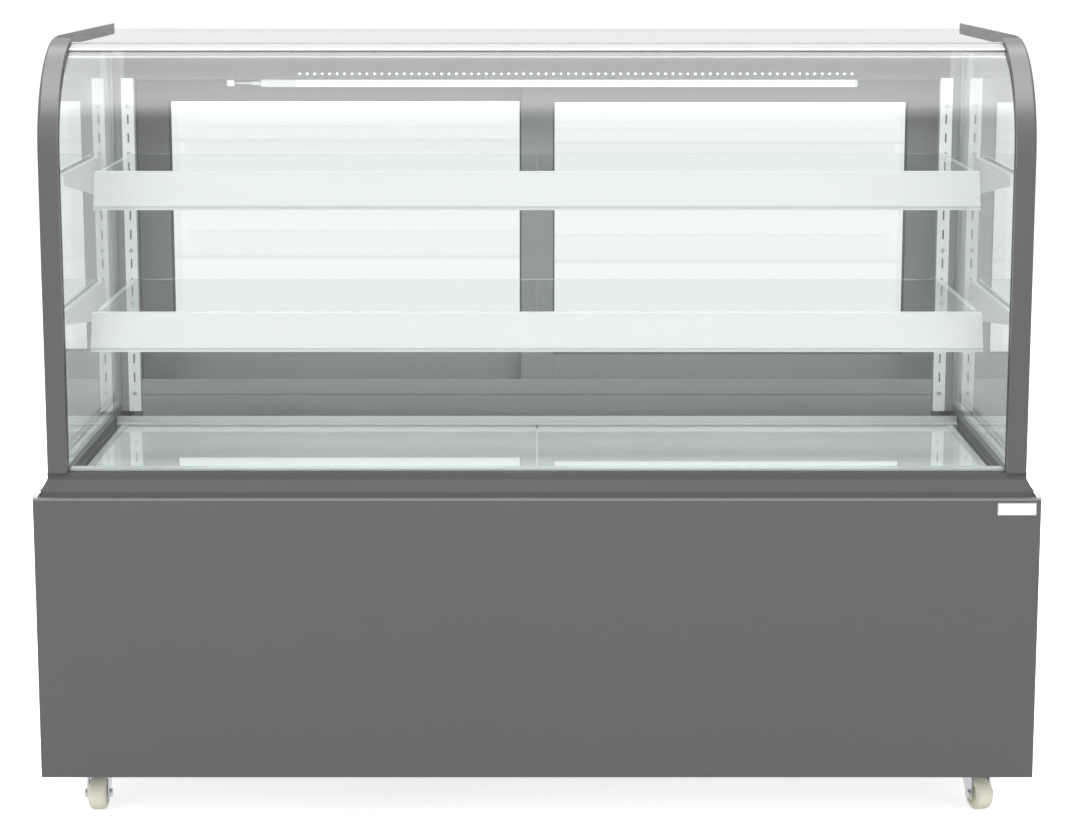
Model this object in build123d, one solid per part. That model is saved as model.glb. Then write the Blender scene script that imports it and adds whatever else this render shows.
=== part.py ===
from build123d import *
import os
from math import cos, radians, sin

os.makedirs("parts", exist_ok=True)

# Refrigerated bakery display case on casters, with a curved glasshouse. Millimetres, +Z up.
# The front faces -Y. X = 0 and Y = 0 are the middle of the base, and Z = 0 is the floor.
# Depths are measured back from the front of the base, and turned into Y by at_depth().

# Base cabinet
overall_width = 1500.0
overall_depth = 730.0
base_clearance = 78.0       # floor to the underside of the base
base_height = 429.0
panel_gauge = 1.5           # folded sheet of the outer panels
panel_flange = 20.0
rear_panel_set_in = 8.0     # keeps the grille and the controls inside the ledge
pan_gauge = 2.0
pan_lip = 18.0
ledge_gauge = 3.0           # pressed steel ledge on top of the base
moulding_height = 35.0      # skirt between the base and the glasshouse
moulding_set_in = 10.0      # how far its foot stands in from the base
moulding_taper = 9.0        # how much further in its top is
moulding_foot = 8.0         # straight foot below the slope
moulding_lip = 10.0         # straight lip above the slope

# Side frames of the glasshouse
frame_height = 642.0
frame_thickness = 30.0      # across X
frame_face = 30.0           # width of its members seen from the side
frame_rear_face = 40.0
frame_foot_face = 20.0
frame_side_set_in = 20.0    # from the side of the base
frame_front_set_in = 15.0
frame_rear_set_in = 55.0
frame_top_wall = 7.0        # outer wall that stands proud beside the top glass
bend_radius = 170.0
frame_edge_round = 5.0
rebate_depth = 18.0
rebate_step = 10.0

# Glass
glass_thickness = 6.0
glass_drop = 9.0            # outer face of the glass below the frame's outer edge
glass_groove_depth = 8.0
glass_groove_clearance = 0.15
seam_angle = 12.0           # the curved glass stops this many degrees short of level
seam_gap = 1.5
roof_set_in = 2.0           # rear edge of the roof from the rear of the side frames
glass_foot_depth = 7.0      # how far the curved glass stands down in the moulding
pane_thickness = 4.0
side_glass_gap = 4.0        # from its rear edge to the rear wall
pane_clearance = 0.3

# Rear wall and its sliding doors
rear_wall_set_in = 223.0    # posts and header in front of the rear of the base
post_width = 19.0           # from the side frames inwards
post_flange_width = 36.0
post_wall = 2.0
track_set_back = 81.0       # tracks behind the front of the rear wall
track_rib = 2.5
track_rib_height = 12.0
track_plate = 6.0
track_top_drop = 17.0       # ribs hanging below the upper track plate
sill_height = 15.0
rear_apron_gauge = 2.0      # plate behind the tracks, over the rear of the skirt
rear_apron_set_in = 4.0
post_set_in = 4.0           # rear of the posts from the rear of the side frames
door_thickness = 26.0
door_side_clearance = 1.0
door_stile = 54.0
door_height = 545.0
door_lift_gap = 8.0         # room above a door, to lift it out
door_end_gap = 0.5
door_glass_rebate = 8.0
glide_length = 60.0
glide_width = 18.0
glide_height = 5.7
glide_inset = 30.0
glide_gap = 0.3
handle_height = 140.0
handle_width = 24.0
handle_depth = 11.0
handle_wall = 1.5
header_drop = 67.0          # front of the header below the top glass
header_wall = 2.0
duct_panel_gauge = 2.0
duct_panel_top = 92.0       # above the foot of the glasshouse
duct_panel_bottom = 45.0    # below the foot of the glasshouse
duct_panel_return = 78.0

# Lamp
lamp_left_gap = 226.0       # from the left post to the lamp
lamp_right_gap = 152.0
lamp_plain_end = 59.0       # unlit end with the connector
lamp_depth = 18.0
lamp_height = 13.0
lamp_wall = 1.5
lamp_end_cap = 6.0

# Shelves and their fittings
standard_width = 20.0
standard_inset = 14.0       # from the inner face of the side frame
standard_gauge = 1.8
standard_projection = 3.0
standard_top_gap = 64.0     # below the underside of the top glass
slot_width = 2.8
slot_height = 16.0
slot_group = 80.5           # a screw and two slots repeat at this pitch
slot_first = 22.0
slot_second = 54.0
slot_groups = 6
top_screw_gap = 49.0        # below the standard's top
screw_hole_radius = 2.3
shelf_thickness = 6.0
shelf_rear_gap = 27.0       # in front of the rear wall
shelf_seam = 2.0
shelf_side_gap = 29.0       # from the inner face of the side frame
upper_shelf_level = 436.0   # above the foot of the glasshouse
lower_shelf_level = 228.0
upper_shelf_front = 156.0
lower_shelf_front = 100.0
rail_height = 55.0
rail_lean = 16.0
rail_wall = 2.0
rail_clip_depth = 14.0
rail_clip_wall = 1.2
rail_lip = 5.0
rail_bead = 1.8             # beads that stand out along the foot of a rail
rail_bead_pitch = 3.2
bracket_thickness = 2.2
bracket_root = 62.0
bracket_tip = 18.0
bracket_setback = 36.0      # tip of the arm behind the shelf's front edge
bracket_flange = 13.0
bracket_flange_gauge = 1.5
bracket_hole_width = 7.0
bracket_hole_height = 16.0
hook_height = 13.0

# Deck
deck_thickness = 6.0
deck_drop = 11.0            # top of the deck below the foot of the glasshouse
deck_seam = 2.0
deck_rear_gap = 55.0        # in front of the rear wall
deck_side_gap = 2.0
strip_width = 19.0
strip_rise = 4.0
strip_gauge = 1.5
rear_rail_height = 13.0
rear_rail_gauge = 2.0
rear_rail_foot = 12.0

# Insulated tub below the deck
tub_wall = 18.0
tub_depth = 130.0
tub_side_set_in = 60.0      # from the side of the base
tub_front_depth = 34.0
tub_rear_set_in = 70.0
deck_bearer_gauge = 2.0
deck_bearer_height = 20.0
deck_pan_gauge = 1.5        # pale pan just under the deck glass
deck_pan_drop = 2.0
deck_pan_seat = 8.0

# Evaporator in the tub
evaporator_length = 900.0
evaporator_depth = 150.0
evaporator_height = 70.0
evaporator_fins = 16
fin_gauge = 1.2
tube_radius = 5.0
evaporator_front_depth = 210.0
evaporator_foot = 8.0
fan_plate_gap = 30.0        # behind the coil
fan_plate_gauge = 2.0
evaporator_fan_radius = 42.0
evaporator_fan_spacing = 420.0
evaporator_motor_gap = 22.0 # from the plate to the motor bracket
evaporator_motor_length = 25.0

# Condensing unit on the base pan
machine_set_in = 370.0      # centre line of the unit from the left side
condenser_width = 300.0
condenser_height = 260.0
condenser_depth = 60.0
condenser_set_in = 40.0     # from the rear of the base
condenser_fins = 18
condenser_fan_radius = 105.0
shroud_depth = 45.0
shroud_gauge = 2.0
fan_ring_depth = 24.0
fan_ring_gap = 6.0
fan_hub_radius = 20.0
fan_blade_gauge = 2.0
fan_blade_pitch = 28.0
fan_motor_radius = 30.0
fan_shaft_radius = 3.0
running_clearance = 0.05
moving_gap = 0.3
compressor_radius = 78.0
compressor_height = 175.0
compressor_wall = 8.0
compressor_cavity = 115.0
terminal_width = 44.0       # cover of the compressor's terminals
terminal_bottom = 70.0
terminal_top = 125.0
terminal_reach = 28.0
compressor_depth = 330.0
grommet_height = 12.0
drier_radius = 12.0
drier_length = 90.0
drain_pan_offset = 420.0    # its centre from the unit's centre line
drain_pan_front = 250.0
drain_pan_width = 420.0
drain_pan_length = 260.0
drain_pan_height = 45.0
drain_pan_wall = 1.5
pipe_radius = 4.0
pipe_bend = 22.0
pipe_side_gap = 40.0        # from the coil to the riser
pipe_run = 50.0
discharge_rise = 95.0
suction_rise = 60.0
drier_offset = 30.0
drier_lead = 110.0

# Rear panel, its grille and the controls
grille_width = 560.0
grille_height = 290.0
grille_bottom = 60.0        # above the underside of the base
grille_border = 22.0
grille_gauge = 3.0
louvre_count = 12
louvre_depth = 14.0
louvre_gauge = 1.6
louvre_angle = 35.0
control_set_in = 350.0      # its centre from the right side
control_z = 300.0           # above the underside of the base
control_width = 150.0
control_height = 56.0
control_proud = 4.0
control_body_depth = 40.0
control_rim = 6.0
lens_width = 46.0
lens_height = 24.0
lens_x = -40.0
key_width = 10.0
key_height = 7.0
key_pitch = 15.0
key_x = 5.0
key_proud = 1.8
key_travel = 1.0
rocker_x = 54.0
rocker_width = 12.0
rocker_half_height = 7.0
rocker_tilt = 8.0
rocker_gap = 0.6

# Casters
caster_inset_x = 72.0
caster_inset_front = 102.0
caster_inset_rear = 100.0
caster_plate_size = 56.0
caster_plate_gauge = 2.5
caster_race_radius = 20.0
caster_race_height = 5.0
kingpin_radius = 5.0
kingpin_head_radius = 9.0
kingpin_head_height = 3.0
fork_gauge = 2.5
fork_crown_radius = 21.0
wheel_radius = 25.0
wheel_width = 27.0
wheel_round = 7.0
wheel_side_gap = 1.0
wheel_hub_radius = 10.0
caster_trail = 22.0
axle_radius = 4.0
axle_head_radius = 6.5
axle_head_height = 4.0
front_right_caster_turn = 18.0

# Levels and places that follow from the sizes above
half_width = overall_width / 2
half_depth = overall_depth / 2
rear_wall_depth = overall_depth - rear_wall_set_in
track_front_depth = rear_wall_depth + track_set_back
side_glass_end = rear_wall_depth - side_glass_gap
shelf_rear_depth = rear_wall_depth - shelf_rear_gap
deck_rear_depth = rear_wall_depth - deck_rear_gap
fan_plate_depth = evaporator_front_depth + evaporator_depth + fan_plate_gap
tub_half_width = half_width - tub_side_set_in
tub_rear_depth = overall_depth - tub_rear_set_in
condenser_rear_depth = overall_depth - condenser_set_in
machine_x = -half_width + machine_set_in
grille_x = machine_x
control_x = half_width - control_set_in
base_top = base_clearance + base_height
ledge_top = base_top + ledge_gauge
frame_bottom = ledge_top + moulding_height
frame_top = frame_bottom + frame_height
frame_outer_x = half_width - frame_side_set_in
frame_inner_x = frame_outer_x - frame_thickness
frame_rear_depth = overall_depth - frame_rear_set_in
glass_top = frame_top - glass_drop
glass_underside = glass_top - glass_thickness
pan_underside = base_clearance + panel_gauge
pan_top = pan_underside + pan_gauge
rear_face_depth = overall_depth - rear_panel_set_in
post_inner_x = frame_inner_x - post_width
post_flange_x = frame_inner_x - post_flange_width
shelf_half_width = frame_inner_x - shelf_side_gap
lamp_left = -post_inner_x + lamp_left_gap
lamp_right = post_inner_x - lamp_right_gap
deck_top = frame_bottom - deck_drop
deck_underside = deck_top - deck_thickness
tub_bottom = deck_underside - tub_depth
track_base = frame_bottom + sill_height
door_bottom = track_base + track_plate + glide_gap + glide_height
door_top = door_bottom + door_height
track_roof = door_top + door_lift_gap
header_bottom = glass_underside - header_drop
standard_x = frame_inner_x - standard_inset - standard_width / 2
standard_top = glass_underside - standard_top_gap
door_lane = door_thickness + 2 * door_side_clearance
inner_lane_depth = track_front_depth + track_rib
outer_lane_depth = inner_lane_depth + door_lane + track_rib
track_rear_depth = outer_lane_depth + door_lane + track_rib
door_width = post_inner_x - door_end_gap + door_stile / 2


def at_depth(depth):
    """The Y of a place that lies this far behind the front of the base."""
    return depth - half_depth


def block(x_low, x_high, depth_low, depth_high, z_low, z_high):
    """A box between two X, two depths and two Z."""
    size = (x_high - x_low, depth_high - depth_low, z_high - z_low)
    centre = ((x_low + x_high) / 2, at_depth((depth_low + depth_high) / 2), (z_low + z_high) / 2)
    return Pos(*centre) * Box(*size)


def across(points, x_low, x_high):
    """A closed outline of (depth, Z) points, extruded from one X to another."""
    face = make_face(Polyline([(at_depth(depth), z) for depth, z in points], close=True))
    return Pos(x_low, 0, 0) * extrude(Plane.YZ * face, x_high - x_low)


def rod(start, end, radius):
    """A round bar from one point to another."""
    along = Vector(*end) - Vector(*start)
    plane = Plane(origin=start, z_dir=along)
    return extrude(plane * Circle(radius), along.length)


def mirrored(shape):
    """The same piece on the other side of the case."""
    return mirror(shape, Plane.YZ)


def save(name, *solids):
    """Write one piece, or a group of separate solids, as parts/NAME.step."""
    shape = solids[0] if len(solids) == 1 else Compound(children=list(solids))
    shape.label = name
    export_step(shape, f"parts/{name}.step")


# Base cabinet


def folded_panel(width, height):
    """A sheet panel that faces -Y, with flanges folded back along its four edges."""
    outer = Box(width, panel_flange, height)
    outer = fillet(outer.faces().sort_by(Axis.Y)[0].edges().filter_by(Axis.Z), panel_gauge)
    return outer - Pos(0, panel_gauge, 0) * Box(
        width - 2 * panel_gauge, panel_flange, height - 2 * panel_gauge)


def make_base():
    middle = base_clearance + base_height / 2
    panel = folded_panel(overall_width, base_height)
    save("front_panel", Pos(0, panel_flange / 2 - half_depth, middle) * panel)

    side = block(half_width - panel_flange, half_width, panel_flange,
                 rear_face_depth - panel_flange, base_clearance, base_top)
    side -= block(half_width - panel_flange - 1, half_width - panel_gauge, panel_flange - 1,
                  rear_face_depth, base_clearance + panel_gauge, base_top - panel_gauge)
    save("right_side_panel", side)
    save("left_side_panel", mirrored(side))

    rear = Pos(0, at_depth(rear_face_depth - panel_flange / 2), middle) * Rot(0, 0, 180) * panel
    opening_margin = grille_border / 2
    opening_low = base_clearance + grille_bottom + opening_margin
    opening = block(
        grille_x - grille_width / 2 + opening_margin, grille_x + grille_width / 2 - opening_margin,
        rear_face_depth - 2 * panel_flange, rear_face_depth + 1,
        opening_low, opening_low + grille_height - 2 * opening_margin)
    control_middle = base_clearance + control_z
    cut_out = block(
        control_x - control_width / 2 + control_rim, control_x + control_width / 2 - control_rim,
        rear_face_depth - 2 * panel_gauge, rear_face_depth + 1,
        control_middle - control_height / 2 + control_rim,
        control_middle + control_height / 2 - control_rim)
    save("rear_panel", rear - opening - cut_out)

    pan_half_width = half_width - panel_gauge - 0.2
    pan_front = panel_gauge + 0.2
    pan_rear = rear_face_depth - panel_gauge - 0.2
    pan = block(-pan_half_width, pan_half_width, pan_front, pan_rear,
                pan_underside, pan_top + pan_lip)
    pan -= block(-pan_half_width + pan_gauge, pan_half_width - pan_gauge,
                 pan_front + pan_gauge, pan_rear - pan_gauge, pan_top, pan_top + pan_lip + 1)
    save("base_pan", pan)

    ledge = block(-half_width, half_width, 0, overall_depth, base_top, ledge_top)
    ledge -= block(-tub_half_width, tub_half_width, tub_front_depth, tub_rear_depth,
                   base_top - 1, ledge_top + 1)
    save("top_ledge", ledge)


def make_moulding():
    foot_width = overall_width - 2 * moulding_set_in
    foot_length = overall_depth - 2 * moulding_set_in
    slope_height = moulding_height - moulding_foot - moulding_lip
    foot = Pos(0, 0, ledge_top + moulding_foot / 2) * Box(foot_width, foot_length, moulding_foot)
    low = Pos(0, 0, ledge_top + moulding_foot) * Rectangle(foot_width, foot_length)
    high = Pos(0, 0, ledge_top + moulding_foot + slope_height) * Rectangle(
        foot_width - 2 * moulding_taper, foot_length - 2 * moulding_taper)
    slope = loft([low.face(), high.face()], ruled=True)
    lip = Pos(0, 0, frame_bottom - moulding_lip / 2) * Box(
        foot_width - 2 * moulding_taper, foot_length - 2 * moulding_taper, moulding_lip)
    solid = foot + slope + lip
    inner_front = glass_face_depth + glass_thickness + 3
    solid -= block(-frame_inner_x, frame_inner_x, inner_front, tub_rear_depth + pane_clearance,
                   ledge_top - 1, frame_bottom + 1)
    groove = glass_groove_clearance
    groove_end = frame_inner_x + glass_groove_depth + groove
    solid -= block(-groove_end, groove_end, glass_face_depth - groove,
                   glass_face_depth + glass_thickness + groove,
                   frame_bottom - glass_foot_depth - groove, frame_bottom + 1)
    edges = solid.edges().filter_by_position(Axis.Z, ledge_top + 1, frame_bottom - 1)
    corners = [edge for edge in edges.filter_by(Axis.Z)
               if abs(edge.center().X) > frame_outer_x - 5 and edge.length < moulding_height]
    save("skirt_moulding", fillet(corners, 4) if corners else solid)


# Glasshouse

glass_face_depth = frame_front_set_in + glass_drop
seam_depth = frame_front_set_in + bend_radius + seam_gap - (bend_radius - glass_drop) * sin(
    radians(seam_angle))
roof_rear_depth = frame_rear_depth - roof_set_in
roof_edge_x = frame_outer_x - frame_top_wall


def house_outline(inset, bottom, rear_depth):
    """The side outline of the glasshouse, moved in by inset: a front, a bend and a flat top."""
    front = at_depth(frame_front_set_in + inset)
    rear = at_depth(rear_depth)
    top = frame_top - inset
    radius = bend_radius - inset
    edges = [
        Line((front, bottom), (front, top - radius)),
        CenterArc((front + radius, top - radius), radius, 180, -90),
        Line((front + radius, top), (rear, top)),
        Line((rear, top), (rear, bottom)),
        Line((rear, bottom), (front, bottom)),
    ]
    return Plane.YZ * make_face(edges)


def curved_sheet(inset, thickness, bottom, end_angle):
    """The section of a sheet that rises at the front and bends back over the top."""
    front = at_depth(frame_front_set_in + inset)
    radius = bend_radius - inset
    centre = Vector(front + radius, frame_top - bend_radius)
    inner = radius - thickness
    arc_size = 90 - end_angle
    tip = Vector(-sin(radians(end_angle)), cos(radians(end_angle)))
    edges = [
        Line((front, bottom), (front, centre.Y)),
        CenterArc(tuple(centre), radius, 180, -arc_size),
        Line(tuple(centre + tip * radius), tuple(centre + tip * inner)),
        CenterArc(tuple(centre), inner, 180, -arc_size),
        Line((front + thickness, centre.Y), (front + thickness, bottom)),
        Line((front + thickness, bottom), (front, bottom)),
    ]
    return Plane.YZ * make_face(edges)


def make_side_frames():
    ring = extrude(house_outline(0, frame_bottom, frame_rear_depth), frame_thickness)
    outer_edges = ring.faces().sort_by(Axis.X)[-1].edges()
    ring = fillet(outer_edges, frame_edge_round)
    opening = house_outline(frame_face, frame_bottom + frame_foot_face,
                            frame_rear_depth - frame_rear_face)
    ring -= Pos(-1, 0, 0) * extrude(opening, frame_thickness + 2)
    rebate = house_outline(frame_face - rebate_step, frame_bottom + frame_foot_face - rebate_step,
                           frame_rear_depth - frame_rear_face + rebate_step)
    ring -= Pos(-1, 0, 0) * extrude(rebate, rebate_depth + 1)
    room = glass_groove_clearance
    groove = curved_sheet(glass_drop - room, glass_thickness + 2 * room, frame_bottom - 1, 0)
    ring -= Pos(-1, 0, 0) * extrude(groove, glass_groove_depth + 1 + room)
    ring = Pos(frame_inner_x, 0, 0) * ring
    ring -= block(frame_inner_x - 1, roof_edge_x + room, seam_depth - room, frame_rear_depth + 1,
                  glass_underside - room, frame_top + 1)
    save("right_side_frame", ring)
    save("left_side_frame", mirrored(ring))


def make_house_glass():
    edge_x = frame_inner_x + glass_groove_depth
    section = curved_sheet(glass_drop, glass_thickness, frame_bottom - glass_foot_depth, seam_angle)
    save("front_glass", Pos(-edge_x, 0, 0) * extrude(section, 2 * edge_x))

    roof = block(-roof_edge_x, roof_edge_x, seam_depth, roof_rear_depth, glass_underside, glass_top)
    save("top_glass", roof)

    inset = frame_face - rebate_step + pane_clearance
    pane_bottom = frame_bottom + frame_foot_face - rebate_step + pane_clearance
    outline = house_outline(inset, pane_bottom, side_glass_end)
    outer_pane = Pos(frame_inner_x + rebate_depth - pane_clearance - pane_thickness, 0, 0) * extrude(
        outline, pane_thickness)
    inner_pane = Pos(frame_inner_x, 0, 0) * extrude(outline, pane_thickness)
    save("right_side_glass", outer_pane, inner_pane)
    save("left_side_glass", mirrored(outer_pane), mirrored(inner_pane))


# Rear wall, header, lamp and duct panel


def make_rear_frame():
    post_rear = frame_rear_depth - post_set_in
    post = block(post_inner_x, frame_inner_x, rear_wall_depth, post_rear,
                 frame_bottom, glass_underside)
    post -= block(post_inner_x + post_wall, frame_inner_x - post_wall,
                  rear_wall_depth + post_wall, post_rear - post_wall,
                  frame_bottom + post_wall, glass_underside - post_wall)
    post += block(post_flange_x, post_inner_x + 1, rear_wall_depth, rear_wall_depth + 2 * post_wall,
                  frame_bottom, header_bottom)
    rebate_edge = frame_face - rebate_step + pane_clearance
    post += block(frame_inner_x - 1, frame_inner_x + rebate_depth / 3,
                  side_glass_end + pane_clearance,
                  frame_rear_depth - frame_rear_face + rebate_step - pane_clearance,
                  frame_bottom + frame_foot_face - rebate_step + pane_clearance,
                  frame_top - rebate_edge)
    lower_track = block(-post_inner_x - 1, post_inner_x + 1, track_front_depth, track_rear_depth,
                        frame_bottom, track_base + track_plate)
    lower_track -= block(-post_inner_x - 1, post_inner_x + 1,
                         track_front_depth + post_wall, track_rear_depth - post_wall,
                         frame_bottom + post_wall, track_base)
    lower_track += block(-frame_inner_x, frame_inner_x, track_rear_depth - 1,
                         frame_rear_depth - rear_apron_set_in,
                         frame_bottom, frame_bottom + rear_apron_gauge)
    upper_track = block(-post_inner_x - 1, post_inner_x + 1, track_front_depth, track_rear_depth,
                        track_roof, track_roof + track_plate)
    rib_depths = [track_front_depth, inner_lane_depth + door_lane, track_rear_depth - track_rib]
    for depth in rib_depths:
        lower_track += block(-post_inner_x - 1, post_inner_x + 1, depth, depth + track_rib,
                             track_base + 1, track_base + track_plate + track_rib_height)
        upper_track += block(-post_inner_x - 1, post_inner_x + 1, depth, depth + track_rib,
                             track_roof - track_top_drop, track_roof + 1)
    save("rear_door_frame", post + mirrored(post) + lower_track + upper_track)


def make_header():
    step_depth = track_front_depth - 1
    step_z = track_roof + track_plate
    rear_depth = roof_rear_depth
    outline = [(rear_wall_depth, header_bottom), (rear_wall_depth, glass_underside),
               (rear_depth, glass_underside), (rear_depth, step_z), (step_depth, step_z),
               (step_depth, header_bottom)]
    wall = header_wall
    hollow = [(rear_wall_depth + wall, header_bottom + wall),
              (rear_wall_depth + wall, glass_underside - wall),
              (rear_depth - wall, glass_underside - wall), (rear_depth - wall, step_z + wall),
              (step_depth - wall, step_z + wall), (step_depth - wall, header_bottom + wall)]
    header = across(outline, -post_inner_x, post_inner_x) - across(hollow, -post_inner_x - 1,
                                                                   post_inner_x + 1)
    save("header", header)

    panel = block(-post_flange_x, post_flange_x, rear_wall_depth, rear_wall_depth + duct_panel_gauge,
                  frame_bottom - duct_panel_bottom, frame_bottom + duct_panel_top)
    panel += block(-post_flange_x, post_flange_x, rear_wall_depth,
                   rear_wall_depth + duct_panel_return,
                   frame_bottom + duct_panel_top - duct_panel_gauge, frame_bottom + duct_panel_top)
    save("duct_panel", panel)


def make_lamp():
    front = rear_wall_depth + 1
    rear = front + lamp_depth
    top = header_bottom
    bottom = top - lamp_height
    channel = block(lamp_left, lamp_right, front, rear, bottom, top)
    window_left = lamp_left + lamp_plain_end
    window_right = lamp_right - lamp_end_cap
    channel -= block(window_left, window_right, front - 1, rear - lamp_wall, bottom - 1,
                     top - lamp_wall)
    save("lamp_channel", channel)
    round_off = 3.0
    diffuser = block(window_left, window_right, front, rear - lamp_wall, bottom, top - lamp_wall)
    diffuser = fillet(diffuser.edges().filter_by(Axis.X).group_by(Axis.Z)[0].sort_by(Axis.Y)[0],
                      round_off)
    save("lamp_diffuser", diffuser)


# Shelf fittings


def slot_levels():
    """The Z of each slot's middle, two below each screw."""
    top_screw = standard_top - top_screw_gap
    return [top_screw - group * slot_group - drop
            for group in range(slot_groups) for drop in (slot_first, slot_second)]


def make_standards():
    front = rear_wall_depth - standard_projection
    half = standard_width / 2
    bar = block(standard_x - half, standard_x + half, front, rear_wall_depth,
                frame_bottom, standard_top)
    bar -= block(standard_x - half + standard_gauge, standard_x + half - standard_gauge,
                 front + standard_gauge, rear_wall_depth + 1, frame_bottom - 1, standard_top + 1)
    for z in slot_levels():
        bar -= block(standard_x - slot_width / 2, standard_x + slot_width / 2,
                     front - 1, rear_wall_depth, z - slot_height / 2, z + slot_height / 2)
    for group in range(slot_groups + 1):
        z = standard_top - top_screw_gap - group * slot_group
        bar -= rod((standard_x, at_depth(front - 1), z), (standard_x, at_depth(rear_wall_depth), z),
                   screw_hole_radius)
    save("shelf_standards", bar, mirrored(bar))


def shelf_arm(shelf_top, shelf_front):
    """A cantilever arm that hooks into two slots of the right standard."""
    root_depth = rear_wall_depth - standard_projection - pane_clearance
    tip_depth = shelf_front + bracket_setback
    top = shelf_top - shelf_thickness
    low = standard_x - bracket_thickness / 2
    high = standard_x + bracket_thickness / 2
    outline = [(root_depth, top), (tip_depth, top), (tip_depth, top - bracket_tip),
               (root_depth - bracket_root / 2, top - bracket_root), (root_depth, top - bracket_root)]
    arm = across(outline, low, high)
    corner = arm.edges().filter_by(Axis.X).sort_by(Axis.Y)[:2].sort_by(Axis.Z)[0]
    arm = fillet(corner, bracket_tip / 2)
    hole_depth = root_depth - bracket_root / 4
    hole_z = top - bracket_root * 0.62
    hole = Plane(origin=(low - 1, at_depth(hole_depth), hole_z), x_dir=(0, 0, 1), z_dir=(1, 0, 0))
    arm -= extrude(hole * SlotOverall(bracket_hole_height, bracket_hole_width),
                   bracket_thickness + 2)
    arm += block(standard_x - bracket_flange, high, tip_depth, root_depth,
                 top - bracket_flange_gauge, top)
    for z in slot_levels():
        if top - bracket_root < z - slot_height / 2 and z + slot_height / 2 < top + 1:
            hook = block(low, high, root_depth - 1, rear_wall_depth - pane_clearance,
                         z - slot_height / 2 + 1, z - slot_height / 2 + 1 + hook_height)
            arm += hook
    return arm


def price_rail(shelf_top, shelf_front):
    """A rail that grips the front of the glass and leans out at its foot."""
    glass_bottom = shelf_top - shelf_thickness
    rear = shelf_front + rail_clip_depth
    foot = shelf_top - rail_height
    outer_top = shelf_front - rail_wall
    outer_foot = outer_top - rail_lean
    outline = [
        (rear, shelf_top), (rear, shelf_top + rail_clip_wall), (outer_top, shelf_top + rail_clip_wall),
        (outer_foot, foot + rail_lip + rail_bead_pitch),
        (outer_foot - rail_bead, foot + rail_lip + rail_bead),
        (outer_foot - rail_bead, foot + rail_lip), (outer_foot, foot + rail_lip - rail_bead / 2),
        (outer_foot, foot + rail_bead), (outer_foot - rail_bead - 1, foot + rail_bead),
        (outer_foot - rail_bead - 1, foot), (outer_foot + rail_lip, foot),
        (outer_foot + rail_wall + 1, foot + rail_lip),
        (shelf_front, glass_bottom - rail_clip_wall), (rear, glass_bottom - rail_clip_wall),
        (rear, glass_bottom), (shelf_front, glass_bottom), (shelf_front, shelf_top),
    ]
    return across(outline, -shelf_half_width, shelf_half_width)


def make_shelves():
    arms = []
    for name, level, front in (("upper", upper_shelf_level, upper_shelf_front),
                               ("lower", lower_shelf_level, lower_shelf_front)):
        top = frame_bottom + level
        plate = block(shelf_seam / 2, shelf_half_width, front, shelf_rear_depth,
                      top - shelf_thickness, top)
        save(f"{name}_shelf_glass", plate, mirrored(plate))
        save(f"{name}_price_rail", price_rail(top, front))
        arm = shelf_arm(top, front)
        arms += [arm, mirrored(arm)]
    save("shelf_brackets", *arms)


# Deck, tub and evaporator


def make_deck():
    glass_back = glass_face_depth + glass_thickness
    front = glass_back + 3
    half = frame_inner_x - deck_side_gap
    plate = block(deck_seam / 2, half, front + strip_gauge + pane_clearance, deck_rear_depth,
                  deck_underside, deck_top)
    save("deck_glass", plate, mirrored(plate))

    top = frame_bottom + strip_rise
    strip = block(-half, half, front, front + strip_width, deck_top, top)
    strip -= block(-half - 1, half + 1, front + strip_gauge, front + strip_width + 1, deck_top - 1,
                   top - strip_gauge)
    strip -= block(-half - 1, half + 1, front + strip_gauge, front + strip_width - strip_gauge,
                   deck_top - 1, top - strip_gauge)
    rail = block(-half, half, deck_rear_depth - rear_rail_foot, deck_rear_depth, deck_top,
                 deck_top + rear_rail_gauge)
    rail += block(-half, half, deck_rear_depth - rear_rail_gauge, deck_rear_depth, deck_top,
                  deck_top + rear_rail_height)
    save("deck_trim", strip, rail)


def make_tub():
    half = tub_half_width - pane_clearance
    front = tub_front_depth + pane_clearance
    rear = tub_rear_depth - pane_clearance
    pan_bottom = deck_underside - deck_pan_drop - deck_pan_gauge
    tub = block(-half, half, front, rear, tub_bottom, deck_underside)
    tub -= block(-half + tub_wall, half - tub_wall, front + tub_wall, rear - tub_wall,
                 tub_bottom + tub_wall, deck_underside + 1)
    bearer = block(-half + tub_wall, half - tub_wall, deck_rear_depth - deck_bearer_height,
                   deck_rear_depth - deck_bearer_height + deck_bearer_gauge,
                   deck_underside - deck_bearer_height, pan_bottom)
    tub -= block(-half + tub_wall - deck_pan_seat, half - tub_wall + deck_pan_seat,
                 front + tub_wall - deck_pan_seat, deck_rear_depth, pan_bottom, deck_underside + 1)
    tub += bearer
    gap = pane_clearance
    pan = block(-half + tub_wall - deck_pan_seat + gap, half - tub_wall + deck_pan_seat - gap,
                front + tub_wall - deck_pan_seat + gap, deck_rear_depth - gap,
                pan_bottom, pan_bottom + deck_pan_gauge)
    save("insulated_tub", tub, pan)


def finned_coil(length, depth, height, fins, rows):
    """Parallel fins on straight tubes along X, standing on Z = 0, centred on X and Y."""
    first = -length / 2 + fin_gauge / 2
    pitch = (length - fin_gauge) / (fins - 1)
    coil = None
    for number in range(fins):
        fin = Pos(first + number * pitch, 0, height / 2) * Box(fin_gauge, depth, height)
        coil = fin if coil is None else coil + fin
    for row in range(rows):
        z = height * (row + 0.5) / rows
        coil += rod((-length / 2, 0, z), (length / 2, 0, z), tube_radius)
    return coil


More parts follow.
